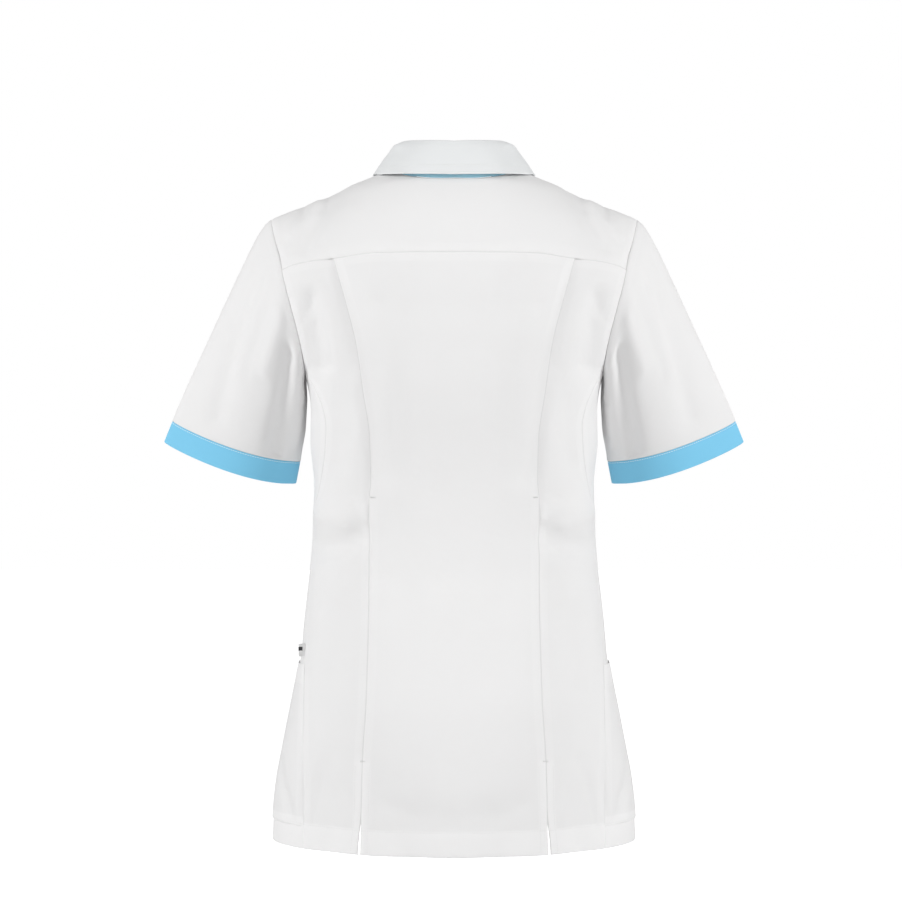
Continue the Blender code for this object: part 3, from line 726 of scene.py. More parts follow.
def torsoInside(point):
    # a point within the body, which tells the way out of the cloth
    return Vector((point.x / 2, 0.0, min(point.z, -0.1)))


def splitHeight(w, rows, top):
    # rows below and above the underarm, as in the solids
    split = rows[0] / sum(rows)
    if w <= split:
        return lerp(tunic["hem"], tunic["underarm"], w / split)
    return lerp(tunic["underarm"], top, (w - split) / (1 - split))


# Cloth and thread

def newGroup(name, inputs, outputs):
    group = bpy.data.node_groups.new(name, "ShaderNodeTree")
    for label, kind, value in inputs:
        socket = group.interface.new_socket(name=label, in_out="INPUT", socket_type=kind)
        if value is not None:
            socket.default_value = value
    for label, kind in outputs:
        group.interface.new_socket(name=label, in_out="OUTPUT", socket_type=kind)
    return group, group.nodes.new("NodeGroupInput"), group.nodes.new("NodeGroupOutput")


def mathNode(tree, operation, first, second=None, third=None):
    node = tree.nodes.new("ShaderNodeMath")
    node.operation = operation
    for i, value in enumerate((first, second, third)):
        if value is None:
            continue
        if isinstance(value, (int, float)):
            node.inputs[i].default_value = value
        else:
            tree.links.new(value, node.inputs[i])
    return node.outputs[0]


# scale for each metre, and detail
noises = {
    "slub": (900.0, 2.0),
    "soft": (26.0, 3.0),
    "small": (95.0, 2.0),
    "pucker": (190.0, 1.0),
    "patch": (9.0, 2.0),
    "fibres": (2600.0, 2.0),
}


def noiseNode(tree, vector, name):
    node = tree.nodes.new("ShaderNodeTexNoise")
    node.inputs["Scale"].default_value, node.inputs["Detail"].default_value = noises[name]
    tree.links.new(vector, node.inputs["Vector"])
    return node.outputs["Fac"]


def weaveGroup():
    # plain weave: warp and weft pass over each other in turn
    group, given, result = newGroup(
        "plainWeave",
        [("Vector", "NodeSocketVector", None), ("Pitch", "NodeSocketFloat", 0.0005)],
        [("Height", "NodeSocketFloat"), ("Thread", "NodeSocketFloat")],
    )
    split = group.nodes.new("ShaderNodeSeparateXYZ")
    group.links.new(given.outputs["Vector"], split.inputs[0])
    waves = []
    for axis in ("X", "Y"):
        turns = mathNode(group, "DIVIDE", split.outputs[axis], given.outputs["Pitch"])
        waves.append(mathNode(group, "SINE", mathNode(group, "MULTIPLY", turns, math.pi)))
    over = mathNode(group, "MULTIPLY_ADD", mathNode(group, "MULTIPLY", waves[0], waves[1]), 0.5, 0.5)
    warp = mathNode(group, "MULTIPLY", mathNode(group, "ABSOLUTE", waves[0]), over)
    under = mathNode(group, "SUBTRACT", 1.0, over)
    weft = mathNode(group, "MULTIPLY", mathNode(group, "ABSOLUTE", waves[1]), under)
    height = mathNode(group, "ADD", warp, weft)
    group.links.new(height, result.inputs["Height"])
    group.links.new(noiseNode(group, given.outputs["Vector"], "slub"), result.inputs["Thread"])
    return group


def rumpleGroup():
    # slight unevenness of worn and pressed cloth, and puckers close to the seams
    group, given, result = newGroup(
        "rumple",
        [("Vector", "NodeSocketVector", None), ("Seam", "NodeSocketFloat", 0.0)],
        [("Height", "NodeSocketFloat"), ("Patch", "NodeSocketFloat")],
    )
    soft = noiseNode(group, given.outputs["Vector"], "soft")
    small = noiseNode(group, given.outputs["Vector"], "small")
    pucker = noiseNode(group, given.outputs["Vector"], "pucker")
    smallShare, puckerShare = 0.30, 0.35
    height = mathNode(group, "MULTIPLY_ADD", small, smallShare, soft)
    atSeam = mathNode(group, "MULTIPLY", pucker, given.outputs["Seam"])
    near = mathNode(group, "MULTIPLY", atSeam, puckerShare)
    group.links.new(mathNode(group, "ADD", height, near), result.inputs["Height"])
    group.links.new(noiseNode(group, given.outputs["Vector"], "patch"), result.inputs["Patch"])
    return group


sharedGroups = {"weave": weaveGroup(), "rumple": rumpleGroup()}

# colours of one and of two layers, of their darker patches and of the painted shadow in a seam's groove, and the
# surface
whiteFinish = {
    "single": (0.846, 0.842, 0.842), "doubled": (0.888, 0.884, 0.884), "shade": 0.97,
    "seamShadowShare": 0.5, "seamShadowColour": (0.54, 0.53, 0.53),
    "roughness": (0.80, 0.90), "sheen": 0.10, "pitch": 0.00052, "rumple": 0.55, "weave": 0.030,
}
blueFinish = dict(
    whiteFinish, single=(0.215, 0.600, 0.860), doubled=(0.225, 0.620, 0.880), shade=0.94,
    seamShadowShare=0.6, seamShadowColour=(0.08, 0.28, 0.42), roughness=(0.78, 0.90), sheen=0.12, rumple=0.45,
)
finishes = {
    "whiteCloth": whiteFinish,
    "blueCloth": blueFinish,
    # painted shade: the collar leaf is a darker white than the rest, and a little cooler where the blue stand
    # shows through
    "leafShadedCloth": dict(whiteFinish, single=(0.800, 0.815, 0.820), doubled=(0.800, 0.815, 0.820)),
    # painted light: the collar stand's blue is much lighter than the bands', standing in for the light that the
    # leaf above keeps from it
    "standLitCloth": dict(
        blueFinish, single=(0.46, 0.82, 0.98), doubled=(0.46, 0.82, 0.98), shade=0.96, rumple=0.15, seamShadowShare=0.0,
    ),
}
clothDetail = {
    "seamRange": (0.88, 0.99),  # of the seam attribute, over which the painted seam shadow darkens
    "patches": (0.6, -0.05),  # strength and start of the darker patches, and the same of the threads
    "sheenRoughness": 0.5,
    "specular": 0.25,
    "bump": 0.001,
}


def newLook(name, colour=None, roughness=None):
    look = bpy.data.materials.new(name)
    look.use_nodes = True
    shader = look.node_tree.nodes["Principled BSDF"]
    if colour:
        shader.inputs["Base Color"].default_value = (*colour, 1)
        shader.inputs["Roughness"].default_value = roughness
    return look, look.node_tree, shader


def mixColours(tree, share, first, second, blending="MIX"):
    node = tree.nodes.new("ShaderNodeMix")
    node.data_type = "RGBA"
    node.blend_type = blending
    # the colour sockets of this node are 6 and 7, and its colour output is 2
    for socket, value in ((0, share), (6, first), (7, second)):
        if isinstance(value, tuple):
            node.inputs[socket].default_value = (*value, 1)
        else:
            tree.links.new(value, node.inputs[socket])
    return node.outputs[2]


def addBump(tree, shader, height, strength, distance):
    bump = tree.nodes.new("ShaderNodeBump")
    bump.inputs["Strength"].default_value = strength
    bump.inputs["Distance"].default_value = distance
    tree.links.new(height, bump.inputs["Height"])
    tree.links.new(bump.outputs["Normal"], shader.inputs["Normal"])


def groupNode(tree, name):
    node = tree.nodes.new("ShaderNodeGroup")
    node.node_tree = sharedGroups[name]
    return node


def clothLook(name):
    finish = finishes[name]
    look, tree, shader = newLook(name)
    uv = tree.nodes.new("ShaderNodeUVMap")
    uv.uv_map = "cloth"
    coordinates = tree.nodes.new("ShaderNodeTexCoord")
    weave, rumple = groupNode(tree, "weave"), groupNode(tree, "rumple")
    weave.inputs["Pitch"].default_value = finish["pitch"]
    seam, doubled = tree.nodes.new("ShaderNodeAttribute"), tree.nodes.new("ShaderNodeAttribute")
    seam.attribute_name, doubled.attribute_name = "seam", "doubled"
    tree.links.new(uv.outputs["UV"], weave.inputs["Vector"])
    tree.links.new(coordinates.outputs["Object"], rumple.inputs["Vector"])
    tree.links.new(seam.outputs["Fac"], rumple.inputs["Seam"])

    # painted shade: the colour darkens in a thin line along each seam, as if in the shadow of its groove
    seamShadowMask = tree.nodes.new("ShaderNodeMapRange")
    seamShadowMask.inputs["From Min"].default_value, seamShadowMask.inputs["From Max"].default_value = clothDetail["seamRange"]
    seamShadowMask.inputs["To Max"].default_value = finish["seamShadowShare"]
    tree.links.new(seam.outputs["Fac"], seamShadowMask.inputs["Value"])
    plies = mixColours(tree, doubled.outputs["Fac"], finish["single"], finish["doubled"])
    patch = mathNode(tree, "MULTIPLY_ADD", rumple.outputs["Patch"], *clothDetail["patches"])
    threads = mathNode(tree, "MULTIPLY_ADD", weave.outputs["Thread"], *clothDetail["patches"])
    uneven = mathNode(tree, "ADD", patch, threads)
    worn = mixColours(tree, uneven, plies, (finish["shade"],) * 3, "MULTIPLY")
    seamShadowColour = mixColours(tree, seamShadowMask.outputs["Result"], worn, finish["seamShadowColour"])
    tree.links.new(seamShadowColour, shader.inputs["Base Color"])

    rough = tree.nodes.new("ShaderNodeMapRange")
    rough.inputs["To Min"].default_value, rough.inputs["To Max"].default_value = finish["roughness"]
    tree.links.new(weave.outputs["Thread"], rough.inputs["Value"])
    tree.links.new(rough.outputs["Result"], shader.inputs["Roughness"])
    shader.inputs["Sheen Weight"].default_value = finish["sheen"]
    shader.inputs["Sheen Roughness"].default_value = clothDetail["sheenRoughness"]
    shader.inputs["Specular IOR Level"].default_value = clothDetail["specular"]

    fine = mathNode(tree, "MULTIPLY", weave.outputs["Height"], finish["weave"])
    height = mathNode(tree, "MULTIPLY_ADD", rumple.outputs["Height"], finish["rumple"], fine)
    addBump(tree, shader, height, 1.0, clothDetail["bump"])
    return look


thread = {"roughness": 0.55, "strength": 0.5, "height": 0.0001}
tape = {"roughness": 0.7, "pitch": 0.0003, "strength": 1.0, "height": 0.00005, "white": (0.80, 0.80, 0.80),
        "band": (0.035, 0.035, 0.040)}


def threadLook(name, colour):
    # fine fibres along a spun thread
    look, tree, shader = newLook(name, colour, thread["roughness"])
    coordinates = tree.nodes.new("ShaderNodeTexCoord")
    fibres = noiseNode(tree, coordinates.outputs["Object"], "fibres")
    addBump(tree, shader, fibres, thread["strength"], thread["height"])
    return look


def tapeLook(name, colour):
    # close ribbed tape, on object coordinates in metres
    look, tree, shader = newLook(name, colour, tape["roughness"])
    coordinates = tree.nodes.new("ShaderNodeTexCoord")
    weave = groupNode(tree, "weave")
    weave.inputs["Pitch"].default_value = tape["pitch"]
    split = tree.nodes.new("ShaderNodeSeparateXYZ")
    flat = tree.nodes.new("ShaderNodeCombineXYZ")
    tree.links.new(coordinates.outputs["Object"], split.inputs[0])
    tree.links.new(split.outputs["X"], flat.inputs["X"])
    tree.links.new(split.outputs["Z"], flat.inputs["Y"])
    tree.links.new(flat.outputs[0], weave.inputs["Vector"])
    addBump(tree, shader, weave.outputs["Height"], tape["strength"], tape["height"])
    return look


whiteCloth, blueCloth = clothLook("whiteCloth"), clothLook("blueCloth")
leafShadedCloth, standLitCloth = clothLook("leafShadedCloth"), clothLook("standLitCloth")
whiteThread = threadLook("whiteThread", (0.80, 0.80, 0.80))
paleThread = threadLook("paleThread", (0.78, 0.90, 0.97))
print("materials ready")


# Panels of the back: u runs across from the centre or from side to side, w up from the hem

# where things change along the pleat, below and above its foot, and what its fold does across
pleat = {
    "lap": (-0.012, 0.004),
    "depth": (-0.065, -0.022),
    "edge": (-0.008, 0.004),
    "lift": (-0.010, 0.050),
    "crest": (0.0010, 0.004, 0.007),
    "hollow": (-0.0016, 0.026, 0.013),
    "easeIn": 0.030,  # below the yoke
    "top": (-0.20, -0.10),
    "foldShare": (0.3, 0.8),
    # share of the lighter doubled strip by the fold, low and high: partly painted highlight
    "doubledLitShare": (0.0, 0.6),
    "pressed": (0.4, 0.6),
    "pressedOver": 0.020,
}


def past(place, span, z):
    # rises from 0 to 1 from a little below a named height to a little above it
    return smoothstep(tunic[place] + span[0], tunic[place] + span[1], z)


def pleatLap(z):
    return tunic["pleatLap"] * past("pleatEnd", pleat["lap"], z)


def pleatDepth(z):
    return (tunic["wall"] + 2 * tunic["gap"]) * past("pleatEnd", pleat["depth"], z)


def backPanelPoint(xFrom, xTo, z, share):
    half, square = bodyRings.at("half", z), squareness(z)
    angle = lerp(ringAngle(xFrom, half, square), ringAngle(xTo, half, square), share)
    return backSurface(half * power(math.cos(angle), 2 / square), z)


backRows = (21, 6)


def backCentre(u, w):
    side = 2 * u - 1
    seamZ = princessSeam.keys[-1]
    seamX = backPanelPoint(0.0, princessSeam.at("x", seamZ), seamZ, abs(side)).x
    z = splitHeight(w, backRows, yokeSeam.at("z", seamX))
    point = backPanelPoint(0.0, princessSeam.at("x", z), z, abs(side))
    return Vector((math.copysign(point.x, side), point.y, point.z))


def backSide(u, w):
    seamZ = lerp(princessSeam.keys[-1], yokeSeam.columns["z"][-1], u)
    lapped = princessSeam.at("x", seamZ) - tunic["pleatLap"]
    seamX = backPanelPoint(lapped, yokeSeam.keys[-1], seamZ, u).x
    z = splitHeight(w, backRows, yokeSeam.at("z", seamX))
    opened = tunic["ventGap"] * smoothstep(tunic["ventOpen"], tunic["hem"], z)
    inner = princessSeam.at("x", z) + opened - pleatLap(z)
    outer = sideSeam.at("x", z) if z <= tunic["underarm"] else armholeBack.at("x", z)
    return backPanelPoint(inner, outer, z, u)


vent = {"facing": 0.0088, "stitch": 0.0080, "fade": (-0.004, 0.004)}
hemEdge = (sewing["hemStitch"], sewing["hemDepth"])
hemHang = {"depth": 0.0055, "heights": (-0.620, -0.712), "across": (0.045, 0.085)}


def princessEdge(z, distance):
    # a loose pleat fold above, a seam between, and a faced vent edge at the hem
    fold = foldEdge(distance, sewing["allowance"])
    top = smoothstep(*pleat["top"], z)
    # partly painted highlight: the lighter doubled strip beside the fold shows near the yoke and fades out lower
    # down, as the fold's edge catches the light there
    fold = (fold[0] * lerp(*pleat["foldShare"], top), fold[1] * lerp(*pleat["doubledLitShare"], top))
    faced = stitchedEdge(distance, vent["stitch"], vent["facing"])
    edge = blend(seamEdge(distance), fold, past("pleatEnd", pleat["edge"], z))
    return blend(faced, edge, past("ventTop", vent["fade"], z))


def reliefCentre(point, edge):
    distance, z = min(edge["left"], edge["right"]), point.z
    # the pleat's fold stands up a little and then rolls down to the panel
    lifted = past("pleatEnd", pleat["lift"], z) * smoothstep(0.0, pleat["easeIn"], edge["high"])
    roll = lifted * (ridge(distance, *pleat["crest"]) + ridge(distance, *pleat["hollow"]))
    # the hem hangs in a little at the middle of the back
    middle = 1 - smoothstep(*hemHang["across"], abs(point.x))
    roll -= hemHang["depth"] * smoothstep(*hemHang["heights"], z) * middle
    edges = gather(princessEdge(z, distance), seamEdge(edge["high"]), stitchedEdge(edge["low"], *hemEdge))
    return bodyFold(point) + roll + edges[0], edges[1]


def reliefSide(point, edge):
    z = point.z
    beside = abs(point.x) - princessSeam.at("x", z)
    pressed = lerp(*pleat["pressed"], smoothstep(0.0, pleat["pressedOver"], edge["high"]))
    under = pleatDepth(z) * pressed * (1 - smoothstep(0.0, tunic["pleatLap"], beside))
    faced = stitchedEdge(edge["left"], vent["stitch"], vent["facing"])
    inner = blend(faced, seamEdge(edge["left"]), past("ventTop", vent["fade"], z))
    edges = gather(
        (0.0, 0.0) if z > tunic["pleatEnd"] else inner,
        seamEdge(edge["right"]),
        seamEdge(edge["high"]),
        stitchedEdge(edge["low"], *hemEdge),
    )
    return bodyFold(point) - under + edges[0], edges[1]


# grid of each panel, its sewn sides, and the size that it was cut to
panelSizes = {
    "backCentre": {
        "across": (38, "fold", "fold"), "up": (118, "hem", "seam"), "sewn": ("left", "right", "high"),
        "flat": (0.255, 0.630), "area": 0.127,
    },
    "backSide": {
        "across": (14, "fold", "seam"), "up": (118, "hem", "seam"), "sewn": ("left", "right", "high"),
        "flat": (0.105, 0.630), "area": 0.056, "softer": "right",
    },
    "front": {
        "across": (46, "fold", "seam"), "up": (120, "hem", "seam"), "sewn": ("right", "high"),
        "flat": (0.330, 0.700), "area": 0.190, "softer": "right",
    },
    "yoke": {
        "across": (84, "seam", "seam"), "up": (26, "seam", "seam"), "sewn": ("left", "right", "low", "high"),
        "flat": (0.460, 0.180), "area": 0.056,
    },
    "sleeve": {
        "across": (84, "seam", "seam"), "up": (40, "seam", "seam"), "sewn": ("low", "high"),
        "flat": (0.430, 0.260), "area": 0.066, "closed": True,
    },
    "cuff": {
        "across": (84, "seam", "seam"), "up": (5, "band", "fold"), "sewn": ("low",),
        "flat": (0.390, 0.026), "thick": 0.0011, "closed": True, "slot": "blue_cloth",
    },
    "stand": {
        "across": (110, "plain", "plain"), "up": (8, "plain", "plain"), "sewn": ("low",),
        "flat": (0.370, 0.040), "area": 0.0105, "thick": 0.0010, "slot": "blue_cloth",
    },
    "leaf": {
        "across": (110, "fold", "fold"), "up": (16, "plain", "fold"), "sewn": ("low",),
        "flat": (0.420, 0.075), "area": 0.0260, "thick": 0.0014,
    },
    "pocket": {
        "across": (40, "fold", "seam"), "up": (24, "fold", "hem"), "sewn": ("left",),
        "flat": (0.250, 0.215), "area": 0.0400,
    },
}


def sewn(name, surface, relief, size, look=None, inside=torsoInside):
    settings = dict(panelSizes[size], look=look or whiteCloth)
    return makePanel(name, surface, inside, relief, settings)


panels = {}
panels["back_centre"] = sewn("centreBack", backCentre, reliefCentre, "backCentre")
for side, turn in sides:
    panels["back_side_" + side] = sewn("sideBack_" + side, turn(backSide), reliefSide, "backSide")
print("back panels ready")


# Yoke, from the back seam over the shoulders to the front shoulder seams

def yokeSurface(u, w):
    side = 2 * u - 1
    share = abs(side)
    base = tunic["backBase"]
    seamX = yokeSeam.keys[-1] * share
    seamRise = (yokeSeam.at("z", seamX) - base) / (shoulderLine.at("back", seamX) - base)
    seamTurn = math.acos(seamRise)
    if share < neck["yokeShare"]:
        angle = neck["corner"] * share / neck["yokeShare"]
        topX, topY = neckPoint(angle)
        topTurn = neckTurn(topX, topY)
    else:
        along = (share - neck["yokeShare"]) / (1 - neck["yokeShare"])
        topX = shoulderSeam.at("x", along)
        topTurn = (shoulderSeam.at("rise", along) - 1) * math.pi / 2
    turn = lerp(seamTurn, topTurn, w)
    endX, endTurn = shoulderSeam.at("x", 1), (shoulderSeam.at("rise", 1) - 1) * math.pi / 2
    if turn >= 0:
        edgeX = armholeBack.at("x", lerp(base, shoulderLine.at("back", endX), math.cos(turn)))
    else:
        edgeX = lerp(armholeBack.columns["x"][-1], endX, turn / endTurn)
    across = lerp(share, topX / endX, smoothstep(0, 1, w))
    x = edgeX * across if share > neck["yokeShare"] else lerp(seamX, topX, w)
    point = shoulderSurface(x, turn)
    return Vector((math.copysign(point.x, side), point.y, point.z))


def reliefYoke(point, edge):
    beside = min(edge["left"], edge["right"])
    creases = foldHeight(creasesYoke, abs(point.x), point.z) * smoothstep(*fades["yokeBack"], point.y)
    creases *= smoothstep(*fades["yokeCrease"], beside)
    edges = gather(seamEdge(edge["low"]), seamEdge(edge["high"]), seamEdge(beside))
    return bodyFold(point) + creases + edges[0], edges[1]


panels["yoke"] = sewn("yokePanel", yokeSurface, reliefYoke, "yoke")


# Fronts, which meet in a covered fly

frontRows = (21, 11)


def flyAngle(half, square=tunic["squareness"]):
    return ringAngle(tunic["flyLap"], half, square) - math.pi


def frontTop(u):
    # the neckline and then the shoulder seam: angle round the body and rise
    if u < neck["frontShare"]:
        start = -math.asin(tunic["flyLap"] / neck["half"])
        turn = lerp(start, math.pi - neck["corner"], u / neck["frontShare"])
        x, y = neck["half"] * math.sin(turn), -neck["front"] * math.cos(turn)
        rise = 1 + neckTurn(x, y) / (math.pi / 2)
    else:
        share = (u - neck["frontShare"]) / (1 - neck["frontShare"])
        x, rise = shoulderSeam.at("x", share), shoulderSeam.at("rise", share)
    z = lerp(tunic["underarm"], shoulderLine.at("front", abs(x)), math.sin(rise * math.pi / 2))
    angle = ringAngle(x, chestHalf.at("half", z))
    return (-angle if x > 0 else angle - math.pi), rise


def frontSurface(u, w):
    split = frontRows[0] / sum(frontRows)
    if w <= split:
        z = lerp(tunic["hem"], tunic["underarm"], w / split)
        half, square = bodyRings.at("half", z), squareness(z)
        return bodyRing(lerp(flyAngle(half, square), ringAngle(sideSeam.at("x", z), half, square), u), z)
    share = (w - split) / (1 - split)
    edgeAngle = math.radians(armholeFront.at("angle", share))
    edgeRise = armholeFront.at("rise", share) / armholeFront.at("rise", 1)
    low, high = chestHalf.at("half", tunic["underarm"]), chestHalf.at("half", tunic["chestTop"])
    start = flyAngle(lerp(low, high, share))
    topStart, topEnd = frontTop(0)[0], frontTop(1)[0]
    topAngle, topRise = frontTop(u)
    across = lerp(u, (topAngle - topStart) / (topEnd - topStart), smoothstep(0, 1, share))
    return chestSurface(lerp(start, edgeAngle, across), topRise * lerp(share, edgeRise, u**3))


fly = {"stitch": 0.034, "depth": 0.036}


def reliefFront(lapped):
    def relief(point, edge):
        under = 0.0
        if lapped:
            full = tunic["wall"] + 5 * tunic["gap"]
            under = full * (1 - smoothstep(*tunic["flyStep"], point.x))
        edges = gather(
            stitchedEdge(edge["left"], fly["stitch"], fly["depth"]),
            seamEdge(edge["right"]),
            seamEdge(edge["high"]),
            stitchedEdge(edge["low"], *hemEdge),
        )
        return bodyFold(point) - under + edges[0], edges[1]
    return relief


panels["front_left"] = sewn("frontPanel_left", frontSurface, reliefFront(True), "front")
panels["front_right"] = sewn("frontPanel_right", mirrored(frontSurface), reliefFront(False), "front")
print("fronts and yoke ready")


# Sleeves and their bands

sleeveShape = {
    "swing": math.radians(12),
    "spread": math.radians(17.4),
    "centre": Vector((0.2331, -0.0320, -0.2782)),
    "halfWidth": 0.0721,
    "frontDepth": 0.0490,
    "backDepth": 0.0370,
    "flare": 0.0025,
    "frontCrease": 1.8,
    "backCrease": 1.5,
    "skew": 0.4,
    "drop": 0.0015,
    "dropOuter": 0.3,
    "band": 0.025,
    "outwards": (0.02, 0.6),  # how the cap faces: further out, and less forwards
    "capBulge": 0.0090,
    "capFades": (0.06, 0.6),
    "capFull": (0.25, 1.0),  # of the bulge, at the underarm and over the top
    "capStarts": 0.2,
    "sag": 0.0036,
    "sagFades": ((0.03, 0.35), (1.0, 0.6)),
    "sagEnds": 0.25,
    "length": 0.21,  # along the sleeve and round its two ends, for the folds
    "girths": (0.43, 0.39),
    "foldFades": ((0.02, 0.14), (1.0, 0.9)),
}
bandShape = {
    "topDip": 0.0007, "topHalf": 0.0012, "sideDip": 0.0005, "sideHalf": 0.0014, "groove": (0.0018, 0.0007),
    "stitch": 0.0019, "thread": (0.00062, 0.00045, 0.0024),
}
sleeveAxis = Vector((
    math.sin(sleeveShape["spread"]) * math.cos(sleeveShape["swing"]),
    -math.sin(sleeveShape["swing"]),
    -math.cos(sleeveShape["spread"]) * math.cos(sleeveShape["swing"]),
))
sleeveWide = Vector((math.cos(sleeveShape["spread"]), 0.0, math.sin(sleeveShape["spread"])))
sleeveDeep = sleeveWide.cross(sleeveAxis)


def cuffRing(share, down):
    across, behind = math.cos(2 * math.pi * share), math.sin(2 * math.pi * share)
    flare = sleeveShape["flare"] * down
    if behind > 0:
        deep = (sleeveShape["backDepth"] + flare) * behind ** sleeveShape["backCrease"]
        deep *= 1 - sleeveShape["skew"] * across
        drop = sleeveShape["drop"] * behind * (sleeveShape["dropOuter"] + across)
    else:
        deep = (sleeveShape["frontDepth"] + flare) * power(behind, sleeveShape["frontCrease"])
        drop = 0.0
    centre = sleeveShape["centre"] + sleeveAxis * (sleeveShape["band"] * down + drop)
    return centre + sleeveWide * (sleeveShape["halfWidth"] + flare) * across + sleeveDeep * deep


def sleeveSurface(u, w):
    # u starts and ends at the underarm seam
    share = u + 0.5
    start = armhole(share)
    further, forwards = sleeveShape["outwards"]
    out = Vector((start.x - armholeCentre.x + further, start.y * forwards, start.z - armholeCentre.z)).normalized()
    top = 0.5 + 0.5 * math.cos(2 * math.pi * share)
    begins, ends = sleeveShape["capFades"]
    bulge = sleeveShape["capBulge"] * lerp(*sleeveShape["capFull"], top * top)
    bulge *= (1 - math.exp(-w / begins)) * (1 - w) ** ends * min(1, top / sleeveShape["capStarts"])
    sag = sleeveShape["sag"] * faded(w, sleeveShape["sagFades"]) * max(0.0, 1 - top / sleeveShape["sagEnds"])
    return start.lerp(cuffRing(share, 0), w) + out * bulge - Vector((sag, 0, 0))


def faded(w, spans):
    # rises at the start and falls again at the end
    return smoothstep(*spans[0], w) * smoothstep(*spans[1], w)


def sleeveInside(point):
    share = (armholeCentre.z - point.z) / (armholeCentre.z - sleeveShape["centre"].z)
    centre = armholeCentre.lerp(sleeveShape["centre"], min(1.1, max(0.0, share)))
    return Vector((math.copysign(centre.x, point.x), centre.y, centre.z))


def reliefSleeve(point, edge):
    length = sleeveShape["length"]
    w = edge["low"] / (edge["low"] + edge["high"])
    girth = lerp(*sleeveShape["girths"], w) / 360
    turn = 360 * edge["left"] / (edge["left"] + edge["right"]) - 180
    total = 0.0
    for table in (foldsSleeve, creasesSleeve):
        for start, startTurn, end, endTurn, width, depth in zip(*table.columns.values()):
            ends = (start * length, startTurn * girth, end * length, endTurn * girth)
            total += ridge(segmentDistance(w * length, turn * girth, ends), depth, 0.0, width)
    edges = gather(
        seamEdge(edge["low"]),
        (seamEdge(edge["high"])[0], 0.0),
        seamEdge(min(edge["left"], edge["right"])),
    )
    return total * faded(w, sleeveShape["foldFades"]) + edges[0], edges[1]


def cuffSurface(u, w):
    return cuffRing(u + 0.5, w)


def reliefCuff(point, edge):
    beside = min(edge["left"], edge["right"])
    at, half = bandShape["groove"]
    height = -bandShape["topDip"] * (1 - smoothstep(0.0, bandShape["topHalf"], edge["low"]))
    height += ridge(edge["low"], -sewing["stitchDip"], at, half) + foldEdge(edge["high"])[0]
    return height - bandShape["sideDip"] * (1 - smoothstep(0.0, bandShape["sideHalf"], beside)), 1.0


for side, turn in sides:
    panels["sleeve_" + side] = sewn(
        "sleevePanel_" + side, turn(sleeveSurface), reliefSleeve, "sleeve", inside=sleeveInside,
    )
    panels["cuff_" + side] = sewn(
        "sleeveBand_" + side, turn(cuffSurface), reliefCuff, "cuff", look=blueCloth, inside=sleeveInside,
    )
print("sleeves ready")


# Collar: u goes round the neck from the wearer's right end to the left end

collarShape = {
    "end": 174,
    "foldHalf": 0.0575,
    "foldBack": 0.0500,
    "foldFront": 0.0600,
    "clear": (0.0026, 0.0044),  # above the shoulders, behind and in front
    "clearTurn": 0.3,  # from the one to the other
    "leastSlope": 0.35,
    "freeShare": 0.15,  # of the fall, next to the fold, that never reaches the shoulders
    "crest": (0.30, 0.0015, 0.007),  # share of the fall, and how far out and up the cloth rolls there
    "stitch": 0.0105,
    "stitchEnd": 160,
    "corner": 0.0022,  # the fold is sharpest where it turns round the side of the neck
    "cornerDown": (0.008, 0.007),
    "cornerOut": (0.057, 0.010),
    "inside": (0.2, -0.004, -0.02),  # share of the depth, and how far forwards and down
}
collarRings = Table("angle foldZ edgeX edgeY edgeZ", [
    (0, 0.0334, 0.000, 0.0655, -0.0028),
    (30, 0.0349, 0.043, 0.0610, -0.0018),
    (60, 0.0361, 0.0735, 0.0385, 0.0002),
    (90, 0.0359, 0.0862, 0.0000, 0.0026),
    (120, 0.0247, 0.083, -0.0400, -0.0080),
    (150, -0.0161, 0.072, -0.0830, -0.0480),
    (174, -0.0425, 0.050, -0.1100, -0.0900),
])


def collarAngle(u):
    return math.radians(collarShape["end"]) * (2 * u - 1)


def foldLine(angle):
    x = collarShape["foldHalf"] * math.sin(angle)
    y = collarShape["foldBack" if math.cos(angle) > 0 else "foldFront"] * math.cos(angle)
    return Vector((x, y, collarRings.at("foldZ", abs(math.degrees(angle)))))


def standSurface(u, w):
    angle = collarAngle(u)
    foot = neckline(angle) + Vector((0, 0, 4 * tunic["gap"]))
    return foot.lerp(foldLine(angle) - Vector((0, 0, 2.5 * tunic["wall"])), w)


def leafFloor(x, y):
    turn = neckTurn(x, y)
    clear = lerp(*collarShape["clear"], smoothstep(0, collarShape["clearTurn"], -turn))
    return shoulderSurface(x, turn).z + clear / max(collarShape["leastSlope"], math.cos(turn))


def leafSurface(u, w):
    angle = collarAngle(u)
    degrees = abs(math.degrees(angle))
    start = foldLine(angle)
    edge = Vector([collarRings.at(name, degrees) for name in ("edgeX", "edgeY", "edgeZ")])
    edge.x *= math.copysign(1, angle)
    out = Vector((edge.x - start.x, edge.y - start.y, 0)).normalized()
    share, further, higher = collarShape["crest"]
    crest = start.lerp(edge, share) + out * further + Vector((0, 0, higher))
    point = start.lerp(crest, w).lerp(crest.lerp(edge, w), w)
    least = leafFloor(point.x, point.y)
    return Vector((point.x, point.y, max(point.z, least) if w > collarShape["freeShare"] else point.z))


def collarInside(point):
    share, forwards, down = collarShape["inside"]
    return Vector((0.0, point.y * share + forwards, point.z + down))


def reliefLeaf(point, edge):
    nearest = min(edge["left"], edge["right"], edge["high"])
    height = foldEdge(nearest)[0]
    if point.y > 0:
        corner = ridge(edge["low"], collarShape["corner"], *collarShape["cornerDown"])
        height += ridge(abs(point.x), corner, *collarShape["cornerOut"])
    return height + stitchGroove(nearest, collarShape["stitch"]), 1.0


def reliefStand(point, edge):
    return 0.0, 1.0


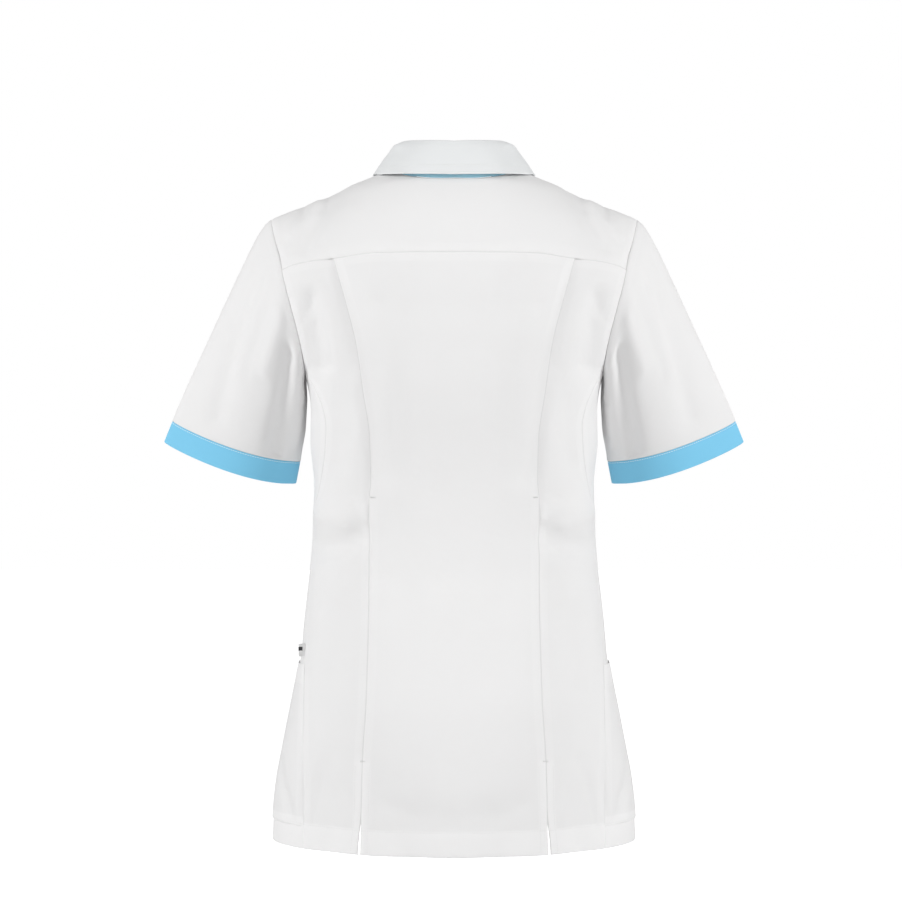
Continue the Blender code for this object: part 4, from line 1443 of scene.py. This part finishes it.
panels["collar_stand"] = sewn(
    "collarStand", standSurface, reliefStand, "stand", look=standLitCloth, inside=collarInside,
)
panels["collar_leaf"] = sewn(
    "collarLeaf", leafSurface, reliefLeaf, "leaf", look=leafShadedCloth, inside=collarInside,
)
print("collar ready")


# Hip pockets, laid on the fronts' own points

pocketShape = {
    "columns": (4 / 16, 0.9975),  # shares of the front that it spans, just short of the side seam
    "cells": (1, 8),  # rows of the front, of those from hem to shoulder
    "above": 0.0013,
    "caught": 0.007,
    "caughtShare": 0.3,
    "gape": 0.002,
    "gapeFrom": 0.72,
    "start": 0.06,
    "shut": 2.5,
    "turning": 0.010,
    "hem": 0.024,
    "stitch": 0.0225,
    "edgeStitch": 0.0022,
}


def pocketSurface(u, w):
    return frontSurface(lerp(*pocketShape["columns"], u), lerp(*pocketShape["cells"], w) / sum(frontRows))


def reliefPocket(point, edge):
    u = edge["left"] / (edge["left"] + edge["right"])
    w = edge["low"] / (edge["low"] + edge["high"])
    mouth = math.sin(math.pi * lerp(pocketShape["start"], 1, u)) ** pocketShape["shut"]
    gape = pocketShape["gape"] * smoothstep(pocketShape["gapeFrom"], 1.0, w) * mouth
    free = lerp(pocketShape["caughtShare"], 1.0, smoothstep(0.0, pocketShape["caught"], edge["right"]))
    edges = gather(
        stitchedEdge(edge["left"], pocketShape["edgeStitch"], pocketShape["turning"]),
        stitchedEdge(edge["low"], pocketShape["edgeStitch"], pocketShape["turning"]),
        stitchedEdge(edge["high"], pocketShape["stitch"], pocketShape["hem"]),
        seamEdge(edge["right"]),
    )
    return bodyFold(point) + pocketShape["above"] * free + gape + edges[0], edges[1]


for side, turn in sides:
    panels["pocket_" + side] = sewn("pocketPatch_" + side, turn(pocketSurface), reliefPocket, "pocket")


# Tab: a folded tape caught in the wearer's left side seam

tabShape = {
    "height": 0.0135,
    "reach": 0.0075,
    "top": -0.4900,
    "thick": 0.0014,
    "rounding": 0.48,  # of the thickness
    "out": (0.90, 0.43, 0),
    "bandLow": -0.0006,
    "bandHigh": 0.0034,
    "bandStart": -0.0006,
}


def makeTab():
    middle = tabShape["top"] - tabShape["height"] / 2
    root = bodyRing(ringAngle(sideSeam.at("x", middle), bodyRings.at("half", middle), squareness(middle)), middle)
    out = Vector(tabShape["out"]).normalized()
    mesh = bmesh.new()
    bmesh.ops.create_cube(mesh, size=1.0)
    bmesh.ops.scale(mesh, vec=(tabShape["reach"], tabShape["thick"], tabShape["height"]), verts=mesh.verts)
    # rounded where the tape folds back on itself
    upright = [e for e in mesh.edges if abs(e.verts[0].co.z - e.verts[1].co.z) > 1e-4]
    outer = [e for e in upright if all(v.co.x > 0 for v in e.verts)]
    bmesh.ops.bevel(
        mesh, geom=outer, offset=tabShape["thick"] * tabShape["rounding"], segments=3, affect="EDGES",
        profile=0.5, material=-1,
    )
    # cut round the band, which has a colour of its own
    low, high, start = tabShape["bandLow"], tabShape["bandHigh"], tabShape["bandStart"]
    for place, across in (((0, 0, low), (0, 0, 1)), ((0, 0, high), (0, 0, 1)), ((start, 0, 0), (1, 0, 0))):
        parts = mesh.verts[:] + mesh.edges[:] + mesh.faces[:]
        bmesh.ops.bisect_plane(mesh, geom=parts, plane_co=place, plane_no=across)
    for face in mesh.faces:
        centre = face.calc_center_median()
        face.material_index = 1 if low < centre.z < high and centre.x > start else 0
    turn = Matrix.Rotation(math.atan2(out.y, out.x), 3, "Z")
    bmesh.ops.rotate(mesh, cent=(0, 0, 0), matrix=turn, verts=mesh.verts)
    bmesh.ops.translate(mesh, vec=root + out * (tabShape["reach"] / 2), verts=mesh.verts)
    bmesh.ops.recalc_face_normals(mesh, faces=mesh.faces[:])
    white, band = tapeLook("tapeWhite", tape["white"]), tapeLook("tapeBand", tape["band"])
    obj = newObject("tapeTab", mesh, white, band)
    smooth(obj, 40)
    return obj


tab = makeTab()
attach(tab, "root")
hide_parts("side_tab")
print("pockets and tab ready")


# Stitching, which follows the finished panels

def edgePath(panel, side, distance, keep=None):
    # the points of a panel that lie this far in from one side, with the way out of the cloth
    columns, rows = len(panel["points"]), len(panel["points"][0])
    upright = side in ("left", "right")
    path = []
    for a in range(rows if upright else columns):
        cells = [(b, a) for b in range(columns)] if upright else [(a, b) for b in range(rows)]
        if side in ("right", "high"):
            cells.reverse()
        for (i, j), (k, m) in zip(cells, cells[1:]):
            near, far = panel[side][i][j], panel[side][k][m]
            if near <= distance < far:
                share = (distance - near) / (far - near)
                point = panel["points"][i][j].lerp(panel["points"][k][m], share)
                normal = panel["normals"][i][j].lerp(panel["normals"][k][m], share)
                if keep is None or keep(point):
                    path.append((point, normal))
                break
    return path


def pathPlace(path, lengths, at, lift):
    # the point at a length along a path, the way along it and the way out of the cloth
    i = min(bisect_right(lengths, at) - 1, len(path) - 2)
    share = (at - lengths[i]) / (lengths[i + 1] - lengths[i])
    along = (path[i + 1][0] - path[i][0]).normalized()
    out = path[i][1].lerp(path[i + 1][1], share)
    return path[i][0].lerp(path[i + 1][0], share) + out * lift, along, out


def placeStitch(mesh, at, along, out, size):
    side = out.cross(along).normalized()
    out = along.cross(side)
    turn = Matrix((side, out, along)).transposed().to_4x4()
    stretch = Matrix.Diagonal((size[0] / 2, size[1] / 2, size[2] / 2, 1))
    place = Matrix.Translation(at) @ turn @ stretch
    bmesh.ops.create_uvsphere(mesh, u_segments=6, v_segments=4, radius=1, matrix=place)


def sewRow(mesh, path, size=sewing["thread"]):
    lengths = runs([point for point, out in path])
    pitch, step = sewing["stitchPitch"], sewing["runLength"]
    count = int(lengths[-1] / pitch)
    for start in range(0, count, step):
        piece = bmesh.new()  # a short run at a time, because a large mesh slows each new stitch
        for n in range(start, min(count, start + step)):
            placeStitch(piece, *pathPlace(path, lengths, (n + 0.5) * pitch, sewing["stitchLift"]), size)
        data = bpy.data.meshes.new("stitchRun")
        piece.to_mesh(data)
        piece.free()
        mesh.from_mesh(data)
        bpy.data.meshes.remove(data)


def finishStitches(name, mesh, look):
    obj = newObject(name, mesh, look)
    obj.data.shade_smooth()
    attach(obj, "root")


def inVent(point):
    return point.z < tunic["ventTop"]


def sewBackStitches():
    mesh = bmesh.new()
    for node in ("back_centre", "back_side_left", "back_side_right"):
        sewRow(mesh, edgePath(panels[node], "low", sewing["hemStitch"]))
    for side in ("left", "right"):
        sewRow(mesh, edgePath(panels["back_centre"], side, vent["stitch"], inVent))
        sewRow(mesh, edgePath(panels["back_side_" + side], "left", vent["stitch"], inVent))
    finishStitches("stitchesBack", mesh, whiteThread)


# bar tacks at the foot of each pleat and at the top of each vent: close stitches across a short line
bars = {
    "spacing": 0.0005,
    "lift": 0.00025,
    "thread": (0.0005, 0.0006, 0.0016),
    "outerShare": 0.9,  # of the reach, on the side away from the centre
    "feel": 0.001,  # distance at which the cloth's tilt is read
}
barPlaces = Table("z reach inwards slope", [
    (tunic["ventTop"] - 0.0005, 0.0060, 0.0000, -0.12),
    (tunic["pleatEnd"] - 0.0015, 0.0052, 0.0036, 0.00),
])


def barPath(side, z, reach, inwards, slope):
    path = []
    steps = 4
    for n in range(steps + 1):
        shift = lerp(-reach, reach * bars["outerShare"], n / steps) / 2 - inwards
        x, height, feel = princessSeam.at("x", z) + shift, z + slope * shift, bars["feel"]
        point = backSurface(x, height)
        out = (backSurface(x, height + feel) - point).cross(backSurface(x + feel, height) - point).normalized()
        out = out if out.y > 0 else -out
        path.append((Vector((side * point.x, point.y, point.z)), Vector((side * out.x, out.y, out.z))))
    return path


def sewBars():
    mesh = bmesh.new()
    for place in zip(*barPlaces.columns.values()):
        for side in (1, -1):
            path = barPath(side, *place)
            lengths = runs([point for point, out in path])
            count = int(lengths[-1] / bars["spacing"])
            for n in range(count):
                point, along, out = pathPlace(path, lengths, (n + 0.5) * lengths[-1] / count, bars["lift"])
                placeStitch(mesh, point, out.cross(along).normalized(), out, bars["thread"])
    finishStitches("barTacks", mesh, whiteThread)


def sewFrontStitches():
    mesh = bmesh.new()
    for side in ("left", "right"):
        sewRow(mesh, edgePath(panels["front_" + side], "low", sewing["hemStitch"]))
        for edge, row in (("high", "stitch"), ("left", "edgeStitch"), ("low", "edgeStitch")):
            sewRow(mesh, edgePath(panels["pocket_" + side], edge, pocketShape[row]))
    sewRow(mesh, edgePath(panels["front_right"], "left", fly["stitch"]))
    finishStitches("stitchesFront", mesh, whiteThread)


def clearOfEnds(point):
    # the leaf's corners are rounded off, so its stitching stops short of them
    return abs(math.atan2(point.x, point.y)) < math.radians(collarShape["stitchEnd"])


def sewCollarStitches():
    mesh = bmesh.new()
    sewRow(mesh, edgePath(panels["collar_leaf"], "high", collarShape["stitch"], clearOfEnds))
    finishStitches("stitchesCollar", mesh, whiteThread)


def sewBandStitches():
    mesh = bmesh.new()
    for side in ("left", "right"):
        sewRow(mesh, edgePath(panels["cuff_" + side], "low", bandShape["stitch"]), bandShape["thread"])
    finishStitches("stitchesBands", mesh, paleThread)


sewBackStitches()
sewBars()
sewFrontStitches()
sewCollarStitches()
sewBandStitches()
print("stitching ready")


# Each panel goes on the root body, and the solid that it stands for is hidden

def declare(piece, node):
    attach(piece, "root")
    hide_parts(node)


cuts = {
    "backCentre": ("back_centre",),
    "backSide": ("back_side_left", "back_side_right"),
    "front": ("front_left", "front_right"),
    "yoke": ("yoke",),
    "sleeve": ("sleeve_left", "sleeve_right"),
    "cuff": ("cuff_left", "cuff_right"),
    "stand": ("collar_stand",),
    "leaf": ("collar_leaf",),
    "pocket": ("pocket_left", "pocket_right"),
}
for size, nodes in cuts.items():
    for node in nodes:
        declare(panels[node]["object"], node)


# Studio: pale floor, soft light from the camera's side, white all round

studio = {
    "floorHeight": -1.15,
    "floorSize": 30.0,
    "floorShade": (0.72, 0.72, 0.72),
    "floorRoughness": 0.9,
    "floorGlow": 0.95,
    "worldLight": 0.42,
    "target": (0.0, 0.0, -0.33),
    "lights": (
        # name, place, size, watts
        ("frontSoftbox", (0.0, 3.0, -0.2), 0.9, 11.0),
        ("keySoftbox", (2.85, 1.4, 0.95), 1.0, 53.0),
        ("fillSoftbox", (-2.85, 1.4, 0.95), 1.0, 53.0),
        ("farSoftbox", (0.0, -3.0, 0.3), 2.0, 18.0),
    ),
    "cameraPlace": (0.0032, 2.6, -0.288),
    "lens": 97.9,
}


def makeFloor():
    mesh = bmesh.new()
    bmesh.ops.create_grid(mesh, x_segments=1, y_segments=1, size=studio["floorSize"] / 2)
    bmesh.ops.translate(mesh, vec=(0, 0, studio["floorHeight"]), verts=mesh.verts)
    look, tree, shader = newLook("paleFloor", studio["floorShade"], studio["floorRoughness"])
    shader.inputs["Emission Color"].default_value = (1, 1, 1, 1)
    path = tree.nodes.new("ShaderNodeLightPath")
    glow = mathNode(tree, "MULTIPLY", path.outputs["Is Camera Ray"], studio["floorGlow"])
    tree.links.new(glow, shader.inputs["Emission Strength"])
    newObject("studioFloor", mesh, look)


def lightWorld():
    # white to the camera, and a softer light on the cloth
    world = bpy.data.worlds.new("whiteRoom")
    bpy.context.scene.world = world
    world.use_nodes = True
    tree = world.node_tree
    seen = tree.nodes["Background"]
    seen.inputs["Color"].default_value = (1, 1, 1, 1)
    seen.inputs["Strength"].default_value = 1.0
    lit = tree.nodes.new("ShaderNodeBackground")
    lit.inputs["Color"].default_value = (1, 1, 1, 1)
    lit.inputs["Strength"].default_value = studio["worldLight"]
    path = tree.nodes.new("ShaderNodeLightPath")
    mix = tree.nodes.new("ShaderNodeMixShader")
    tree.links.new(path.outputs["Is Camera Ray"], mix.inputs[0])
    tree.links.new(lit.outputs[0], mix.inputs[1])
    tree.links.new(seen.outputs[0], mix.inputs[2])
    tree.links.new(mix.outputs[0], tree.nodes["World Output"].inputs["Surface"])


def addLights():
    for name, place, size, watts in studio["lights"]:
        light = bpy.data.lights.new(name, "AREA")
        light.shape = "DISK"
        light.size = size
        light.energy = watts
        obj = bpy.data.objects.new(name, light)
        bpy.context.scene.collection.objects.link(obj)
        obj.location = place
        towards = Vector(studio["target"]) - Vector(place)
        obj.rotation_euler = towards.to_track_quat("-Z", "Y").to_euler()


def addCamera():
    camera = bpy.data.cameras.new("backView")
    camera.sensor_width = 36.0
    camera.lens = studio["lens"]
    obj = bpy.data.objects.new("backView", camera)
    bpy.context.scene.collection.objects.link(obj)
    obj.location = studio["cameraPlace"]
    obj.rotation_euler = (math.radians(90), 0, math.radians(180))
    bpy.context.scene.camera = obj


makeFloor()
lightWorld()
addLights()
addCamera()
bpy.context.scene.view_settings.view_transform = "Standard"
print("studio ready")
